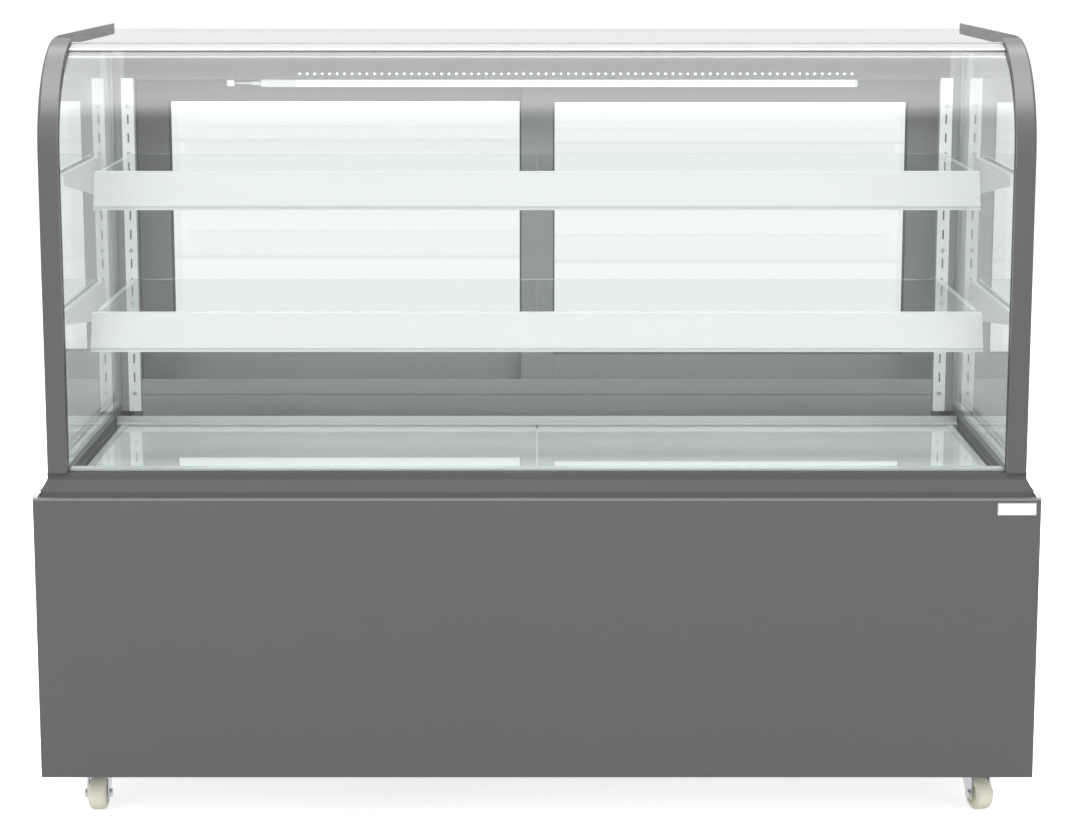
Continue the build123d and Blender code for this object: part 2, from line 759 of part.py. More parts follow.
def fan(radius, blades, hub_length, bore):
    """A fan along Y: a hub with twisted blades, its bore open at both ends."""
    hub = Rot(-90, 0, 0) * Cylinder(fan_hub_radius, hub_length)
    reach = radius - fan_hub_radius + 1
    chord = fan_hub_radius * 1.5
    root = Plane(origin=(fan_hub_radius - 2, 0, 0), z_dir=(1, 0, 0)) * Rot(0, 0, fan_blade_pitch + 12)
    tip = Plane(origin=(fan_hub_radius - 2 + reach, 0, 0), z_dir=(1, 0, 0)) * Rot(
        0, 0, fan_blade_pitch)
    root_face = (root * Rectangle(fan_blade_gauge, chord * 0.8)).face()
    tip_face = (tip * Rectangle(fan_blade_gauge, chord * 1.5)).face()
    blade = loft([root_face, tip_face], ruled=True)
    for number in range(blades):
        hub += Rot(0, 360 / blades * number, 0) * blade
    return hub - Rot(-90, 0, 0) * Cylinder(bore, hub_length + 40)


def make_evaporator():
    foot = tub_bottom + tub_wall
    middle = evaporator_front_depth + evaporator_depth / 2
    coil = Pos(0, at_depth(middle), foot + evaporator_foot) * finned_coil(
        evaporator_length, evaporator_depth, evaporator_height, evaporator_fins, 2)
    for side in (-1, 1):
        x = side * evaporator_length / 2
        coil += block(x - 3, x + 3, middle - evaporator_depth / 2, middle + evaporator_depth / 2,
                      foot, foot + evaporator_foot + evaporator_height)
    save("evaporator_coil", coil)

    top = deck_underside - deck_pan_drop - deck_pan_gauge - 1
    plate = block(-evaporator_length / 2, evaporator_length / 2, fan_plate_depth,
                  fan_plate_depth + fan_plate_gauge, foot, top)
    fan_z = (foot + top) / 2
    fans = []
    for side in (-1, 1):
        x = side * evaporator_fan_spacing / 2
        hole_radius = evaporator_fan_radius + 3
        plate -= rod((x, at_depth(fan_plate_depth - 1), fan_z),
                     (x, at_depth(fan_plate_depth + fan_plate_gauge + 1), fan_z), hole_radius)
        motor_face = fan_plate_depth + fan_plate_gauge + evaporator_motor_gap
        plate += block(x - hole_radius - 6, x + hole_radius + 6, motor_face, motor_face + 3,
                       fan_z - 8, fan_z + 8)
        for end in (-1, 1):
            x_post = x + end * (hole_radius + 3)
            plate += block(x_post - 3, x_post + 3, fan_plate_depth, motor_face + 3,
                           fan_z - 8, fan_z + 8)
        plate += rod((x, at_depth(motor_face + 1), fan_z),
                     (x, at_depth(motor_face + 1 + evaporator_motor_length), fan_z), 18)
        plate += rod((x, at_depth(motor_face + 1), fan_z),
                     (x, at_depth(fan_plate_depth - 10), fan_z), fan_shaft_radius)
        blades = fan(evaporator_fan_radius, 5, 14, fan_shaft_radius + running_clearance)
        fans.append(Pos(x, at_depth(fan_plate_depth + 1), fan_z) * blades)
    save("evaporator_fan_plate", plate)
    save("left_evaporator_fan", fans[0])
    save("right_evaporator_fan", fans[1])


# Condensing unit


def make_condensing_unit():
    rear = condenser_rear_depth
    front = rear - condenser_depth
    middle_z = pan_top + condenser_height / 2 + 4
    coil = Pos(machine_x, at_depth((front + rear) / 2), pan_top + 4) * finned_coil(
        condenser_width, condenser_depth, condenser_height, condenser_fins, 3)
    for side in (-1, 1):
        x = machine_x + side * condenser_width / 2
        coil += block(x - 2, x + 2, front, rear, pan_top, pan_top + 4 + condenser_height)
    save("condenser_coil", coil)

    shroud_front = front - shroud_depth
    half = condenser_width / 2 + 2
    shroud = block(machine_x - half, machine_x + half, shroud_front, front,
                   pan_top, pan_top + 4 + condenser_height)
    shroud -= block(machine_x - half + shroud_gauge, machine_x + half - shroud_gauge,
                    shroud_front + shroud_gauge, front + 1, pan_top + shroud_gauge,
                    pan_top + 4 + condenser_height - shroud_gauge)
    ring_outer = condenser_fan_radius + fan_ring_gap + shroud_gauge
    ring_front = shroud_front - fan_ring_depth
    shroud += rod((machine_x, at_depth(ring_front), middle_z),
                  (machine_x, at_depth(shroud_front + 1), middle_z), ring_outer)
    shroud -= rod((machine_x, at_depth(ring_front - 1), middle_z),
                  (machine_x, at_depth(shroud_front + shroud_gauge), middle_z),
                  condenser_fan_radius + fan_ring_gap)
    arm_front = ring_front - 14
    for angle in (30, 150, 270):
        reach = ring_outer
        arm = Pos(reach / 2, 0, 0) * Box(reach, 5, 12)
        leg = Pos(reach - 3, 9, 0) * Box(5, 18, 12)
        shroud += Pos(machine_x, at_depth(arm_front), middle_z) * Rot(0, -angle, 0) * (arm + leg)
    shroud += rod((machine_x, at_depth(arm_front - 40), middle_z),
                  (machine_x, at_depth(arm_front + 2), middle_z), fan_motor_radius)
    shroud += rod((machine_x, at_depth(arm_front), middle_z),
                  (machine_x, at_depth(ring_front + 22), middle_z), fan_shaft_radius)
    save("condenser_fan_shroud", shroud)
    blades = fan(condenser_fan_radius, 5, 20, fan_shaft_radius + running_clearance)
    save("condenser_fan", Pos(machine_x, at_depth(ring_front + 12), middle_z) * blades)

    foot = pan_top + grommet_height
    can = Pos(machine_x, at_depth(compressor_depth), foot + compressor_height / 2)
    outer = can * Cylinder(compressor_radius, compressor_height)
    outer = fillet(outer.edges().filter_by(GeomType.CIRCLE), compressor_radius * 0.45)
    core = can * Cylinder(compressor_radius - compressor_wall, compressor_cavity)
    shell = outer - core
    base_plate = Pos(machine_x, at_depth(compressor_depth), foot + 2) * Box(
        2 * compressor_radius + 30, 2 * compressor_radius, 4)
    shell += base_plate
    shell += block(machine_x + compressor_radius - 8, machine_x + compressor_radius + terminal_reach,
                   compressor_depth - terminal_width / 2, compressor_depth + terminal_width / 2,
                   foot + terminal_bottom, foot + terminal_top)
    save("compressor", shell)
    grommets = []
    for side_x in (-1, 1):
        for side_y in (-1, 1):
            place = (machine_x + side_x * compressor_radius,
                     at_depth(compressor_depth + side_y * (compressor_radius - 18)),
                     pan_top + grommet_height / 2)
            grommets.append(Pos(*place) * Cylinder(11, grommet_height))
    save("compressor_grommets", *grommets)

    pan_x = machine_x + drain_pan_offset
    pan_front = drain_pan_front
    tray = block(pan_x - drain_pan_width / 2, pan_x + drain_pan_width / 2, pan_front,
                 pan_front + drain_pan_length, pan_top, pan_top + drain_pan_height)
    tray -= block(pan_x - drain_pan_width / 2 + drain_pan_wall,
                  pan_x + drain_pan_width / 2 - drain_pan_wall, pan_front + drain_pan_wall,
                  pan_front + drain_pan_length - drain_pan_wall, pan_top + drain_pan_wall,
                  pan_top + drain_pan_height + 1)
    save("condensate_pan", tray)
    make_pipes(foot, rear, middle_z)


def pipe(points, radius, bend):
    """A bent pipe: straight runs with an arc at each corner."""
    path = FilletPolyline(*points, radius=bend)
    start = Plane(origin=path @ 0, z_dir=path % 0)
    return sweep(start * Circle(radius), path=path)


def make_pipes(foot, rear, middle_z):
    out_x = machine_x - compressor_radius
    coil_x = machine_x - condenser_width / 2 - 2
    high = middle_z + condenser_height / 2 - 30
    side_x = coil_x - pipe_side_gap
    outlet_y = at_depth(compressor_depth)
    coil_y = at_depth(rear - condenser_depth / 2)
    rise = foot + discharge_rise
    discharge = pipe([(out_x, outlet_y, rise), (side_x, outlet_y, rise), (side_x, coil_y, rise),
                      (side_x, coil_y, high), (coil_x, coil_y, high)], pipe_radius, pipe_bend)
    low = middle_z - condenser_height / 2 + 30
    drier_x = side_x - drier_offset
    drier_start = coil_y - drier_lead
    liquid = pipe([(coil_x, coil_y, low), (drier_x, coil_y, low), (drier_x, drier_start, low)],
                  pipe_radius, pipe_bend)
    drier_end = drier_start - drier_length
    suction_y = outlet_y - compressor_radius
    suction_z = foot + suction_rise
    suction = pipe([(machine_x, suction_y, suction_z), (machine_x, suction_y - pipe_run, suction_z),
                    (machine_x, suction_y - pipe_run, tub_bottom)], pipe_radius, pipe_bend)
    supply = pipe([(drier_x, drier_end, low), (drier_x, drier_end - pipe_run, low),
                   (drier_x, drier_end - pipe_run, tub_bottom)], pipe_radius, pipe_bend)
    drier = rod((drier_x, drier_start, low), (drier_x, drier_end, low), drier_radius)
    drier = chamfer(drier.edges().filter_by(GeomType.CIRCLE), drier_radius * 0.55)
    save("copper_pipes", discharge, liquid, suction, supply, drier)


# Grille and controls


def make_grille():
    low = base_clearance + grille_bottom
    left = grille_x - grille_width / 2
    face = rear_face_depth
    frame = block(left, left + grille_width, face, face + grille_gauge, low, low + grille_height)
    window_low = low + grille_border
    window_high = low + grille_height - grille_border
    frame -= block(left + grille_border, left + grille_width - grille_border,
                   face - 1, face + grille_gauge + 1, window_low, window_high)
    pitch = (window_high - window_low) / louvre_count
    rise = louvre_depth * sin(radians(louvre_angle))
    run = louvre_depth * cos(radians(louvre_angle))
    blade_z = louvre_gauge / cos(radians(louvre_angle))
    for number in range(louvre_count):
        z = window_low + pitch * (number + 0.5) - rise / 2
        outline = [(face + grille_gauge, z), (face + grille_gauge - run, z + rise),
                   (face + grille_gauge - run, z + rise + blade_z), (face + grille_gauge, z + blade_z)]
        frame += across(outline, left + grille_border - 2, left + grille_width - grille_border + 2)
    save("rear_grille", frame)


def make_controls():
    middle = base_clearance + control_z
    face = rear_face_depth
    housing = block(control_x - control_width / 2, control_x + control_width / 2, face,
                    face + control_proud, middle - control_height / 2, middle + control_height / 2)
    housing = fillet(housing.edges().filter_by(Axis.Y), 4)
    inner = control_rim + pane_clearance
    housing += block(control_x - control_width / 2 + inner, control_x + control_width / 2 - inner,
                     face - control_body_depth, face + 1,
                     middle - control_height / 2 + inner, middle + control_height / 2 - inner)
    lens_left = control_x + lens_x - lens_width / 2
    lens_room = block(lens_left, lens_left + lens_width, face + control_proud - 2,
                      face + control_proud + 1, middle - lens_height / 2, middle + lens_height / 2)
    housing -= lens_room
    lens = block(lens_left, lens_left + lens_width, face + control_proud - 2, face + control_proud,
                 middle - lens_height / 2, middle + lens_height / 2)
    save("display_lens", lens)
    key_floor = face + control_proud - 6
    for number, name in enumerate(("set_key", "up_key", "down_key")):
        x = control_x + key_x + (number - 1) * key_pitch * 0.95
        z = middle
        housing -= block(x - key_width / 2 - moving_gap, x + key_width / 2 + moving_gap, key_floor,
                         face + control_proud + 1, z - key_height / 2 - moving_gap,
                         z + key_height / 2 + moving_gap)
        key = block(x - key_width / 2, x + key_width / 2, key_floor + key_travel + moving_gap,
                    face + control_proud + key_proud, z - key_height / 2, z + key_height / 2)
        key = fillet(key.faces().sort_by(Axis.Y)[-1].edges(), 0.8)
        save(name, key)
    pivot = (control_x + rocker_x, face + control_proud - 3, middle)
    window = rocker_half_height * 1.13 + rocker_gap
    housing -= block(pivot[0] - rocker_width / 2 - moving_gap, pivot[0] + rocker_width / 2 + moving_gap,
                     pivot[1] - 5, face + control_proud + 1, middle - window, middle + window)
    save("control_housing", housing)
    outline = [(-2, -rocker_half_height), (5.5, -rocker_half_height), (4.2, 0),
               (5.5, rocker_half_height), (-2, rocker_half_height)]
    section = Plane.YZ * make_face(Polyline(outline, close=True))
    rocker = Pos(-rocker_width / 2, 0, 0) * extrude(section, rocker_width)
    rocker = Rot(rocker_tilt, 0, 0) * rocker
    save("light_switch", Pos(pivot[0], at_depth(pivot[1]), pivot[2]) * rocker)


# Casters

caster_plate_bottom = pan_underside - caster_plate_gauge
caster_race_bottom = caster_plate_bottom - caster_race_height
crown_top = caster_race_bottom - moving_gap
crown_bottom = crown_top - fork_gauge


def caster_plate():
    """The fixed plate, race and kingpin, about a swivel axis at X = Y = 0."""
    plate = Pos(0, 0, pan_underside - caster_plate_gauge / 2) * Box(
        caster_plate_size, caster_plate_size, caster_plate_gauge)
    plate = fillet(plate.edges().filter_by(Axis.Z), 6)
    race = rod((0, 0, caster_race_bottom), (0, 0, caster_plate_bottom + 0.5), caster_race_radius)
    pin_bottom = crown_bottom - moving_gap - kingpin_head_height
    pin = rod((0, 0, pin_bottom), (0, 0, caster_plate_bottom), kingpin_radius)
    head = rod((0, 0, pin_bottom), (0, 0, pin_bottom + kingpin_head_height), kingpin_head_radius)
    return plate + race + pin + head


def caster_fork():
    """The swivelling fork with its wheel carried at -Y."""
    crown = rod((0, 0, crown_bottom), (0, 0, crown_top), fork_crown_radius)
    inner = wheel_width / 2 + wheel_side_gap
    leg_outline = [(fork_crown_radius * 0.8, crown_top), (fork_crown_radius * -0.95, crown_top),
                   (-caster_trail - 9, wheel_radius + 4), (-caster_trail - 9, wheel_radius - 6),
                   (-caster_trail + 7, wheel_radius - 8)]
    face = make_face(Polyline([(y, z) for y, z in leg_outline], close=True))
    leg = Pos(inner, 0, 0) * extrude(Plane.YZ * face, fork_gauge)
    leg = fillet(leg.edges().filter_by(Axis.X).group_by(Axis.Z)[0:2][0], 5)
    bridge = Pos(0, -fork_crown_radius * 0.1, (crown_bottom + crown_top) / 2) * Box(
        2 * inner + fork_gauge, fork_crown_radius * 1.6, fork_gauge)
    fork = crown + bridge + leg + mirrored(leg)
    fork -= rod((0, 0, crown_bottom - 1), (0, 0, crown_top + 1), kingpin_radius + running_clearance)
    fork -= rod((-inner - 9, -caster_trail, wheel_radius), (inner + 9, -caster_trail, wheel_radius),
                axle_radius)
    return fork


def caster_axle():
    reach = wheel_width / 2 + wheel_side_gap + fork_gauge
    y = -caster_trail
    axle = rod((-reach, y, wheel_radius), (reach, y, wheel_radius), axle_radius)
    for side in (-1, 1):
        near = side * reach
        far = side * (reach + axle_head_height)
        head = rod((near, y, wheel_radius), (far, y, wheel_radius), axle_head_radius)
        axle += head
    return axle


def caster_wheel():
    """A barrel-shaped tread on a narrower hub."""
    half = wheel_width / 2
    tread = rod((-half, 0, 0), (half, 0, 0), wheel_radius)
    tread = fillet(tread.edges().filter_by(GeomType.CIRCLE), wheel_round)
    for side in (-1, 1):
        dish = rod((side * (half - 3), 0, 0), (side * (half + 1), 0, 0), wheel_radius * 0.62)
        tread -= dish
        tread += rod((side * (half - 4), 0, 0), (side * half, 0, 0), wheel_hub_radius)
    tread -= rod((-half - 1, 0, 0), (half + 1, 0, 0), axle_radius + running_clearance)
    return Pos(0, -caster_trail, wheel_radius) * tread


def make_casters():
    x = half_width - caster_inset_x
    front = at_depth(caster_inset_front)
    rear = at_depth(overall_depth - caster_inset_rear)
    places = {"front_left": (-x, front, 0), "front_right": (x, front, front_right_caster_turn),
              "rear_left": (-x, rear, 0), "rear_right": (x, rear, 0)}
    save("caster_plates", *[Pos(px, py, 0) * caster_plate() for px, py, turn in places.values()])
    for name, (px, py, turn) in places.items():
        place = Pos(px, py, 0) * Rot(0, 0, turn)
        save(f"{name}_caster_fork", place * caster_fork(), place * caster_axle())
        save(f"{name}_caster_wheel", place * caster_wheel())


def make_doors():
    glass_half = door_stile - door_glass_rebate
    lanes = {"left": (outer_lane_depth, -post_inner_x + door_end_gap),
             "right": (inner_lane_depth, post_inner_x - door_end_gap - door_width)}
    for name, (lane, left) in lanes.items():
        front = lane + door_side_clearance
        rear = front + door_thickness
        right = left + door_width
        frame = block(left, right, front, rear, door_bottom, door_top)
        frame = chamfer(frame.faces().sort_by(Axis.Y)[0].edges(), 1.5)
        frame -= block(left + door_stile, right - door_stile, front - 1, rear + 1,
                       door_bottom + door_stile, door_top - door_stile)
        middle = (front + rear) / 2
        unit_half = pane_thickness * 1.5
        frame -= block(left + glass_half - pane_clearance, right - glass_half + pane_clearance,
                       middle - unit_half - pane_clearance, middle + unit_half + pane_clearance,
                       door_bottom + glass_half - pane_clearance,
                       door_top - glass_half + pane_clearance)
        outer_stile_x = left + door_stile / 2 if name == "left" else right - door_stile / 2
        handle_z = (door_bottom + door_top) / 2
        pocket = block(outer_stile_x - handle_width / 2, outer_stile_x + handle_width / 2,
                       rear - handle_depth, rear + 1,
                       handle_z - handle_height / 2, handle_z + handle_height / 2)
        glides = [block(x, x + glide_length, middle - glide_width / 2, middle + glide_width / 2,
                        track_base + track_plate + glide_gap, door_bottom)
                  for x in (left + glide_inset, right - glide_inset - glide_length)]
        save(f"{name}_door_frame", frame - pocket, *glides)
        panes = [block(left + glass_half, right - glass_half, depth, depth + pane_thickness,
                       door_bottom + glass_half, door_top - glass_half)
                 for depth in (middle - unit_half, middle + unit_half - pane_thickness)]
        save(f"{name}_door_glass", *panes)
        cup = block(outer_stile_x - handle_width / 2, outer_stile_x + handle_width / 2,
                    rear - handle_depth, rear, handle_z - handle_height / 2,
                    handle_z + handle_height / 2)
        cup -= block(outer_stile_x - handle_width / 2 + handle_wall,
                     outer_stile_x + handle_width / 2 - handle_wall,
                     rear - handle_depth + handle_wall, rear + 1,
                     handle_z - handle_height / 2 + handle_wall,
                     handle_z + handle_height / 2 - handle_wall)
        save(f"{name}_door_handle", cup)


make_base()
make_moulding()
make_side_frames()
make_house_glass()
make_rear_frame()
make_header()
make_lamp()
make_standards()
make_shelves()
make_deck()
make_tub()
make_evaporator()
make_condensing_unit()
make_grille()
make_controls()
make_casters()
make_doors()
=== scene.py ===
from math import pi, radians

import bmesh
import bpy
from mathutils import Matrix, Vector


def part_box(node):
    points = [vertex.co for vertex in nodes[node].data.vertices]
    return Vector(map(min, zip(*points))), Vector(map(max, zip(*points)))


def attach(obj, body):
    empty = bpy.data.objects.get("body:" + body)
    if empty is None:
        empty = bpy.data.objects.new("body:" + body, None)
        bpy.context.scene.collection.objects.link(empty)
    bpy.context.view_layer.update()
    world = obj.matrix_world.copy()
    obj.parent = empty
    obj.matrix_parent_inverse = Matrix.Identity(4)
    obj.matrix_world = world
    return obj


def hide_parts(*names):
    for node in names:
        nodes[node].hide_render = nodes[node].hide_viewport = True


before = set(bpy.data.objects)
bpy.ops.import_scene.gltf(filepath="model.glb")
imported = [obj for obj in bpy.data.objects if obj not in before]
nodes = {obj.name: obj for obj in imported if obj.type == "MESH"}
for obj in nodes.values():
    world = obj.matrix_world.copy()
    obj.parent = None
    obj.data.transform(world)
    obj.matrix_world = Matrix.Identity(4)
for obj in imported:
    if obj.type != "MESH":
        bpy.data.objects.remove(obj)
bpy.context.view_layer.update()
bpy.ops.object.select_all(action="DESELECT")
scene = bpy.context.scene

# Places on the case in metres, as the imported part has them
FRONT = -0.365
BASE_TOP = 0.507
FRAME_INNER = 0.700
WALL = FRONT + 0.507
BEND_DEPTH = FRONT + 0.185
BEND_Z = 1.017
GLASS_RADIUS = 0.161
PLATE_UNDER = 0.077
STANDARD_X = 0.676
LAMP_Z = 1.105
REAR_PANEL = 0.357
REAR_GRILLE = 0.360

# Sides and directions
SIDES = ((-1, "left"), (1, "right"))
TO_FRONT = (0, -1, 0)
TO_REAR = (0, 1, 0)
TO_LEFT = (-1, 0, 0)
DOWN = (0, 0, -1)


# Materials

COLOR = "NodeSocketColor"
NUMBER = "NodeSocketFloat"
VECTOR = "NodeSocketVector"
BUMP_STRENGTH = 0.4
DRAWN_BUMP = 0.00003
COAT_ROUGHNESS = 0.1
GLASS_IOR = 1.46
GLASS_SHADOW = (0.98, 0.99, 0.985, 1)
MIX_COLORS = (6, 7)
MIX_COLOR_OUT = 2


def link(tree, source, target):
    tree.links.new(source, target)


def feed(tree, socket, value):
    """Sets a socket to a number, or links it where the value is another socket."""
    if isinstance(value, (int, float)):
        socket.default_value = value
    else:
        link(tree, value, socket)


def node(tree, kind, **values):
    made = tree.nodes.new(kind)
    for key, value in values.items():
        setattr(made, key, value)
    return made


def math_node(tree, operation, first, second=0.0):
    made = node(tree, "ShaderNodeMath", operation=operation)
    feed(tree, made.inputs[0], first)
    feed(tree, made.inputs[1], second)
    return made.outputs[0]


def noise(tree, place, scale, detail):
    """A noise pattern; its scale is a number or another socket."""
    made = node(tree, "ShaderNodeTexNoise")
    link(tree, place, made.inputs["Vector"])
    feed(tree, made.inputs["Scale"], scale)
    made.inputs["Detail"].default_value = detail
    return made.outputs["Fac"]


def swing(tree, pattern, amount):
    """A pattern from 0 to 1 turned into a swing round zero."""
    return math_node(tree, "MULTIPLY", math_node(tree, "SUBTRACT", pattern, 0.5), amount)


def shaded(tree, color, change):
    """A colour made lighter or darker by a share of itself."""
    made = node(tree, "ShaderNodeVectorMath", operation="SCALE")
    link(tree, color, made.inputs[0])
    link(tree, math_node(tree, "ADD", change, 1.0), made.inputs["Scale"])
    return made.outputs[0]


def new_group(name, inputs):
    """A node group that puts out a colour, a roughness and a height; inputs are (name, type, value)."""
    group = bpy.data.node_groups.new(name, "ShaderNodeTree")
    for label, kind, value in inputs:
        socket = group.interface.new_socket(label, in_out="INPUT", socket_type=kind)
        socket.default_value = value
    for label, kind in (("Color", COLOR), ("Roughness", NUMBER), ("Height", NUMBER)):
        group.interface.new_socket(label, in_out="OUTPUT", socket_type=kind)
    start = group.nodes.new("NodeGroupInput")
    end = group.nodes.new("NodeGroupOutput")
    return group, start.outputs, end.inputs


def make_skin_group():
    """Painted or moulded skin: a fine grain, faint cloudy patches and a few smudges."""
    group, given, result = new_group("skin", (
        ("Color", COLOR, (0.5, 0.5, 0.5, 1)),
        ("Variation", NUMBER, 0.04),
        ("Roughness", NUMBER, 0.4),
        ("Smudge", NUMBER, 0.08),
        ("Grain Scale", NUMBER, 900.0),
    ))
    place = node(group, "ShaderNodeTexCoord").outputs["Object"]
    cloud = noise(group, place, 3.5, 5)
    smear = noise(group, place, 14, 6)
    grain = noise(group, place, given["Grain Scale"], 3)
    change = swing(group, cloud, given["Variation"])
    link(group, shaded(group, given["Color"], change), result["Color"])
    spread = swing(group, smear, given["Smudge"])
    link(group, math_node(group, "ADD", spread, given["Roughness"]), result["Roughness"])
    link(group, grain, result["Height"])
    return group


def make_drawn_group():
    """Drawn or brushed metal: long fine lines along one axis that change its shade and its gloss."""
    group, given, result = new_group("drawn_metal", (
        ("Color", COLOR, (0.6, 0.6, 0.6, 1)),
        ("Stretch", VECTOR, (6.0, 700.0, 700.0)),
        ("Contrast", NUMBER, 0.12),
        ("Roughness", NUMBER, 0.3),
    ))
    stretched = node(group, "ShaderNodeVectorMath", operation="MULTIPLY")
    link(group, node(group, "ShaderNodeTexCoord").outputs["Object"], stretched.inputs[0])
    link(group, given["Stretch"], stretched.inputs[1])
    lines = noise(group, stretched.outputs[0], 1.0, 4)
    change = swing(group, lines, given["Contrast"])
    link(group, shaded(group, given["Color"], change), result["Color"])
    link(group, math_node(group, "ADD", change, given["Roughness"]), result["Roughness"])
    link(group, lines, result["Height"])
    return group


SKIN = make_skin_group()
DRAWN = make_drawn_group()


def new_material(name):
    """A material with its node tree and its Principled shader."""
    material = bpy.data.materials.new(name)
    material.use_nodes = True
    tree = material.node_tree
    return material, tree, tree.nodes["Principled BSDF"]


def surfaced(name, group, values, bump, metallic=0.0, specular=0.5, coat=0.0):
    """A material whose colour, roughness and relief come from a group."""
    material, tree, shader = new_material(name)
    effect = node(tree, "ShaderNodeGroup", node_tree=group)
    for label, value in values.items():
        effect.inputs[label].default_value = value
    link(tree, effect.outputs["Color"], shader.inputs["Base Color"])
    link(tree, effect.outputs["Roughness"], shader.inputs["Roughness"])
    relief = node(tree, "ShaderNodeBump")
    relief.inputs["Distance"].default_value = bump
    relief.inputs["Strength"].default_value = BUMP_STRENGTH
    link(tree, effect.outputs["Height"], relief.inputs["Height"])
    link(tree, relief.outputs["Normal"], shader.inputs["Normal"])
    shader.inputs["Metallic"].default_value = metallic
    shader.inputs["Specular IOR Level"].default_value = specular
    shader.inputs["Coat Weight"].default_value = coat
    shader.inputs["Coat Roughness"].default_value = COAT_ROUGHNESS
    return material


def skin(name, color, roughness, variation=0.04, smudge=0.08, grain=900.0, bump=0.00005, **shader):
    return surfaced(name, SKIN, {
        "Color": (*color, 1), "Variation": variation, "Roughness": roughness, "Smudge": smudge,
        "Grain Scale": grain}, bump, **shader)


def drawn(name, color, roughness, stretch=(6.0, 700.0, 700.0), contrast=0.12):
    return surfaced(name, DRAWN, {
        "Color": (*color, 1), "Stretch": stretch, "Contrast": contrast, "Roughness": roughness},
        DRAWN_BUMP, metallic=1.0)


def glowing(name, color, strength):
    material = skin(name, color, 0.35, variation=0.02, grain=500.0)
    shader = material.node_tree.nodes["Principled BSDF"]
    shader.inputs["Emission Color"].default_value = (*color, 1)
    shader.inputs["Emission Strength"].default_value = strength
    return material


def swap_shader(tree, mask, usual, other):
    """Sends the usual shader to the surface, and the other one where the mask is 1."""
    mix = node(tree, "ShaderNodeMixShader")
    link(tree, mask, mix.inputs[0])
    link(tree, usual.outputs[0], mix.inputs[1])
    link(tree, other.outputs[0], mix.inputs[2])
    link(tree, mix.outputs[0], tree.nodes["Material Output"].inputs["Surface"])


def glass(name, tint, edge_tint=None, pane_axis="Z"):
    """Clear glass that lets lamps through, with a greener tint where it was cut across its pane."""
    material, tree, shader = new_material(name)
    shader.inputs["Base Color"].default_value = (*tint, 1)
    shader.inputs["Roughness"].default_value = 0.0
    shader.inputs["IOR"].default_value = GLASS_IOR
    shader.inputs["Transmission Weight"].default_value = 1.0
    if edge_tint:
        split = node(tree, "ShaderNodeSeparateXYZ")
        link(tree, node(tree, "ShaderNodeTexCoord").outputs["Normal"], split.inputs[0])
        facing = math_node(tree, "ABSOLUTE", split.outputs[pane_axis])
        blend = node(tree, "ShaderNodeMix", data_type="RGBA")
        for slot, color in zip(MIX_COLORS, (tint, edge_tint)):
            blend.inputs[slot].default_value = (*color, 1)
        link(tree, math_node(tree, "LESS_THAN", facing, 0.5), blend.inputs[0])
        link(tree, blend.outputs[MIX_COLOR_OUT], shader.inputs["Base Color"])
    clear = node(tree, "ShaderNodeBsdfTransparent")
    clear.inputs["Color"].default_value = GLASS_SHADOW
    shadow = node(tree, "ShaderNodeLightPath").outputs["Is Shadow Ray"]
    swap_shader(tree, shadow, shader, clear)
    return material


panel_paint = skin("panel_paint", (0.101, 0.101, 0.102), 0.55, variation=0.03, specular=0.2)
frame_paint = skin("frame_paint", (0.09, 0.089, 0.091), 0.32, variation=0.04, specular=0.4)
moulding_plastic = skin("moulding_plastic", (0.092, 0.091, 0.093), 0.6, variation=0.05,
                        grain=1400.0, bump=0.00008, specular=0.06)
inner_paint = skin("inner_paint", (0.28, 0.283, 0.287), 0.5, variation=0.02, smudge=0.02, grain=1600.0,
                   bump=0.00001, specular=0.35)
header_paint = skin("header_paint", (0.105, 0.106, 0.108), 0.4, variation=0.04, specular=0.5)
chassis_steel = drawn("chassis_steel", (0.52, 0.53, 0.54), 0.42, contrast=0.2)
ledge_steel = drawn("ledge_steel", (0.31, 0.31, 0.31), 0.45)
bright_aluminium = drawn("bright_aluminium", (0.7, 0.73, 0.72), 0.42, contrast=0.05)
upright_steel = skin("upright_steel", (0.86, 0.885, 0.88), 0.3, variation=0.03, grain=1500.0, bump=0.00001)
zinc = drawn("zinc_plate", (0.62, 0.64, 0.66), 0.34, stretch=(60.0, 60.0, 60.0), contrast=0.3)
rail_plastic = skin("rail_plastic", (0.69, 0.725, 0.715), 0.3, variation=0.02, grain=1800.0)
lamp_plastic = skin("lamp_plastic", (0.78, 0.8, 0.8), 0.35)
lamp_light = glowing("lamp_light", (0.80, 0.88, 0.95), 0.7)
# Glow of the dots on the header's face: painted reflection of the lamp's LED chips
painted_chip_reflection = glowing("painted_chip_reflection", (0.95, 0.98, 1.0), 2.2)
caster_nylon = skin("caster_nylon", (0.82, 0.80, 0.67), 0.4, variation=0.1, smudge=0.15, grain=700.0)
tub_plastic = skin("tub_plastic", (0.8, 0.82, 0.81), 0.5, variation=0.02)
coil_aluminium = drawn("coil_aluminium", (0.6, 0.61, 0.6), 0.38)
black_enamel = skin("black_enamel", (0.02, 0.02, 0.021), 0.3, variation=0.2, coat=0.3)
black_plastic = skin("black_plastic", (0.03, 0.03, 0.032), 0.45, variation=0.15, grain=1600.0)
rubber_feet = skin("rubber_feet", (0.025, 0.025, 0.026), 0.75, variation=0.2, smudge=0.2, grain=1500.0,
                   bump=0.00008, specular=0.3)
copper = drawn("copper", (0.72, 0.4, 0.27), 0.25, stretch=(300.0, 300.0, 20.0), contrast=0.25)
display_plastic = skin("display_plastic", (0.05, 0.008, 0.008), 0.12, variation=0.1, coat=0.6)
white_enamel = skin("white_enamel", (0.82, 0.82, 0.81), 0.25, variation=0.02, coat=0.4)
plate_border = skin("plate_border", (0.42, 0.44, 0.47), 0.35, variation=0.05)
spacer_metal = drawn("spacer_metal", (0.8, 0.83, 0.82), 0.4, contrast=0.05)
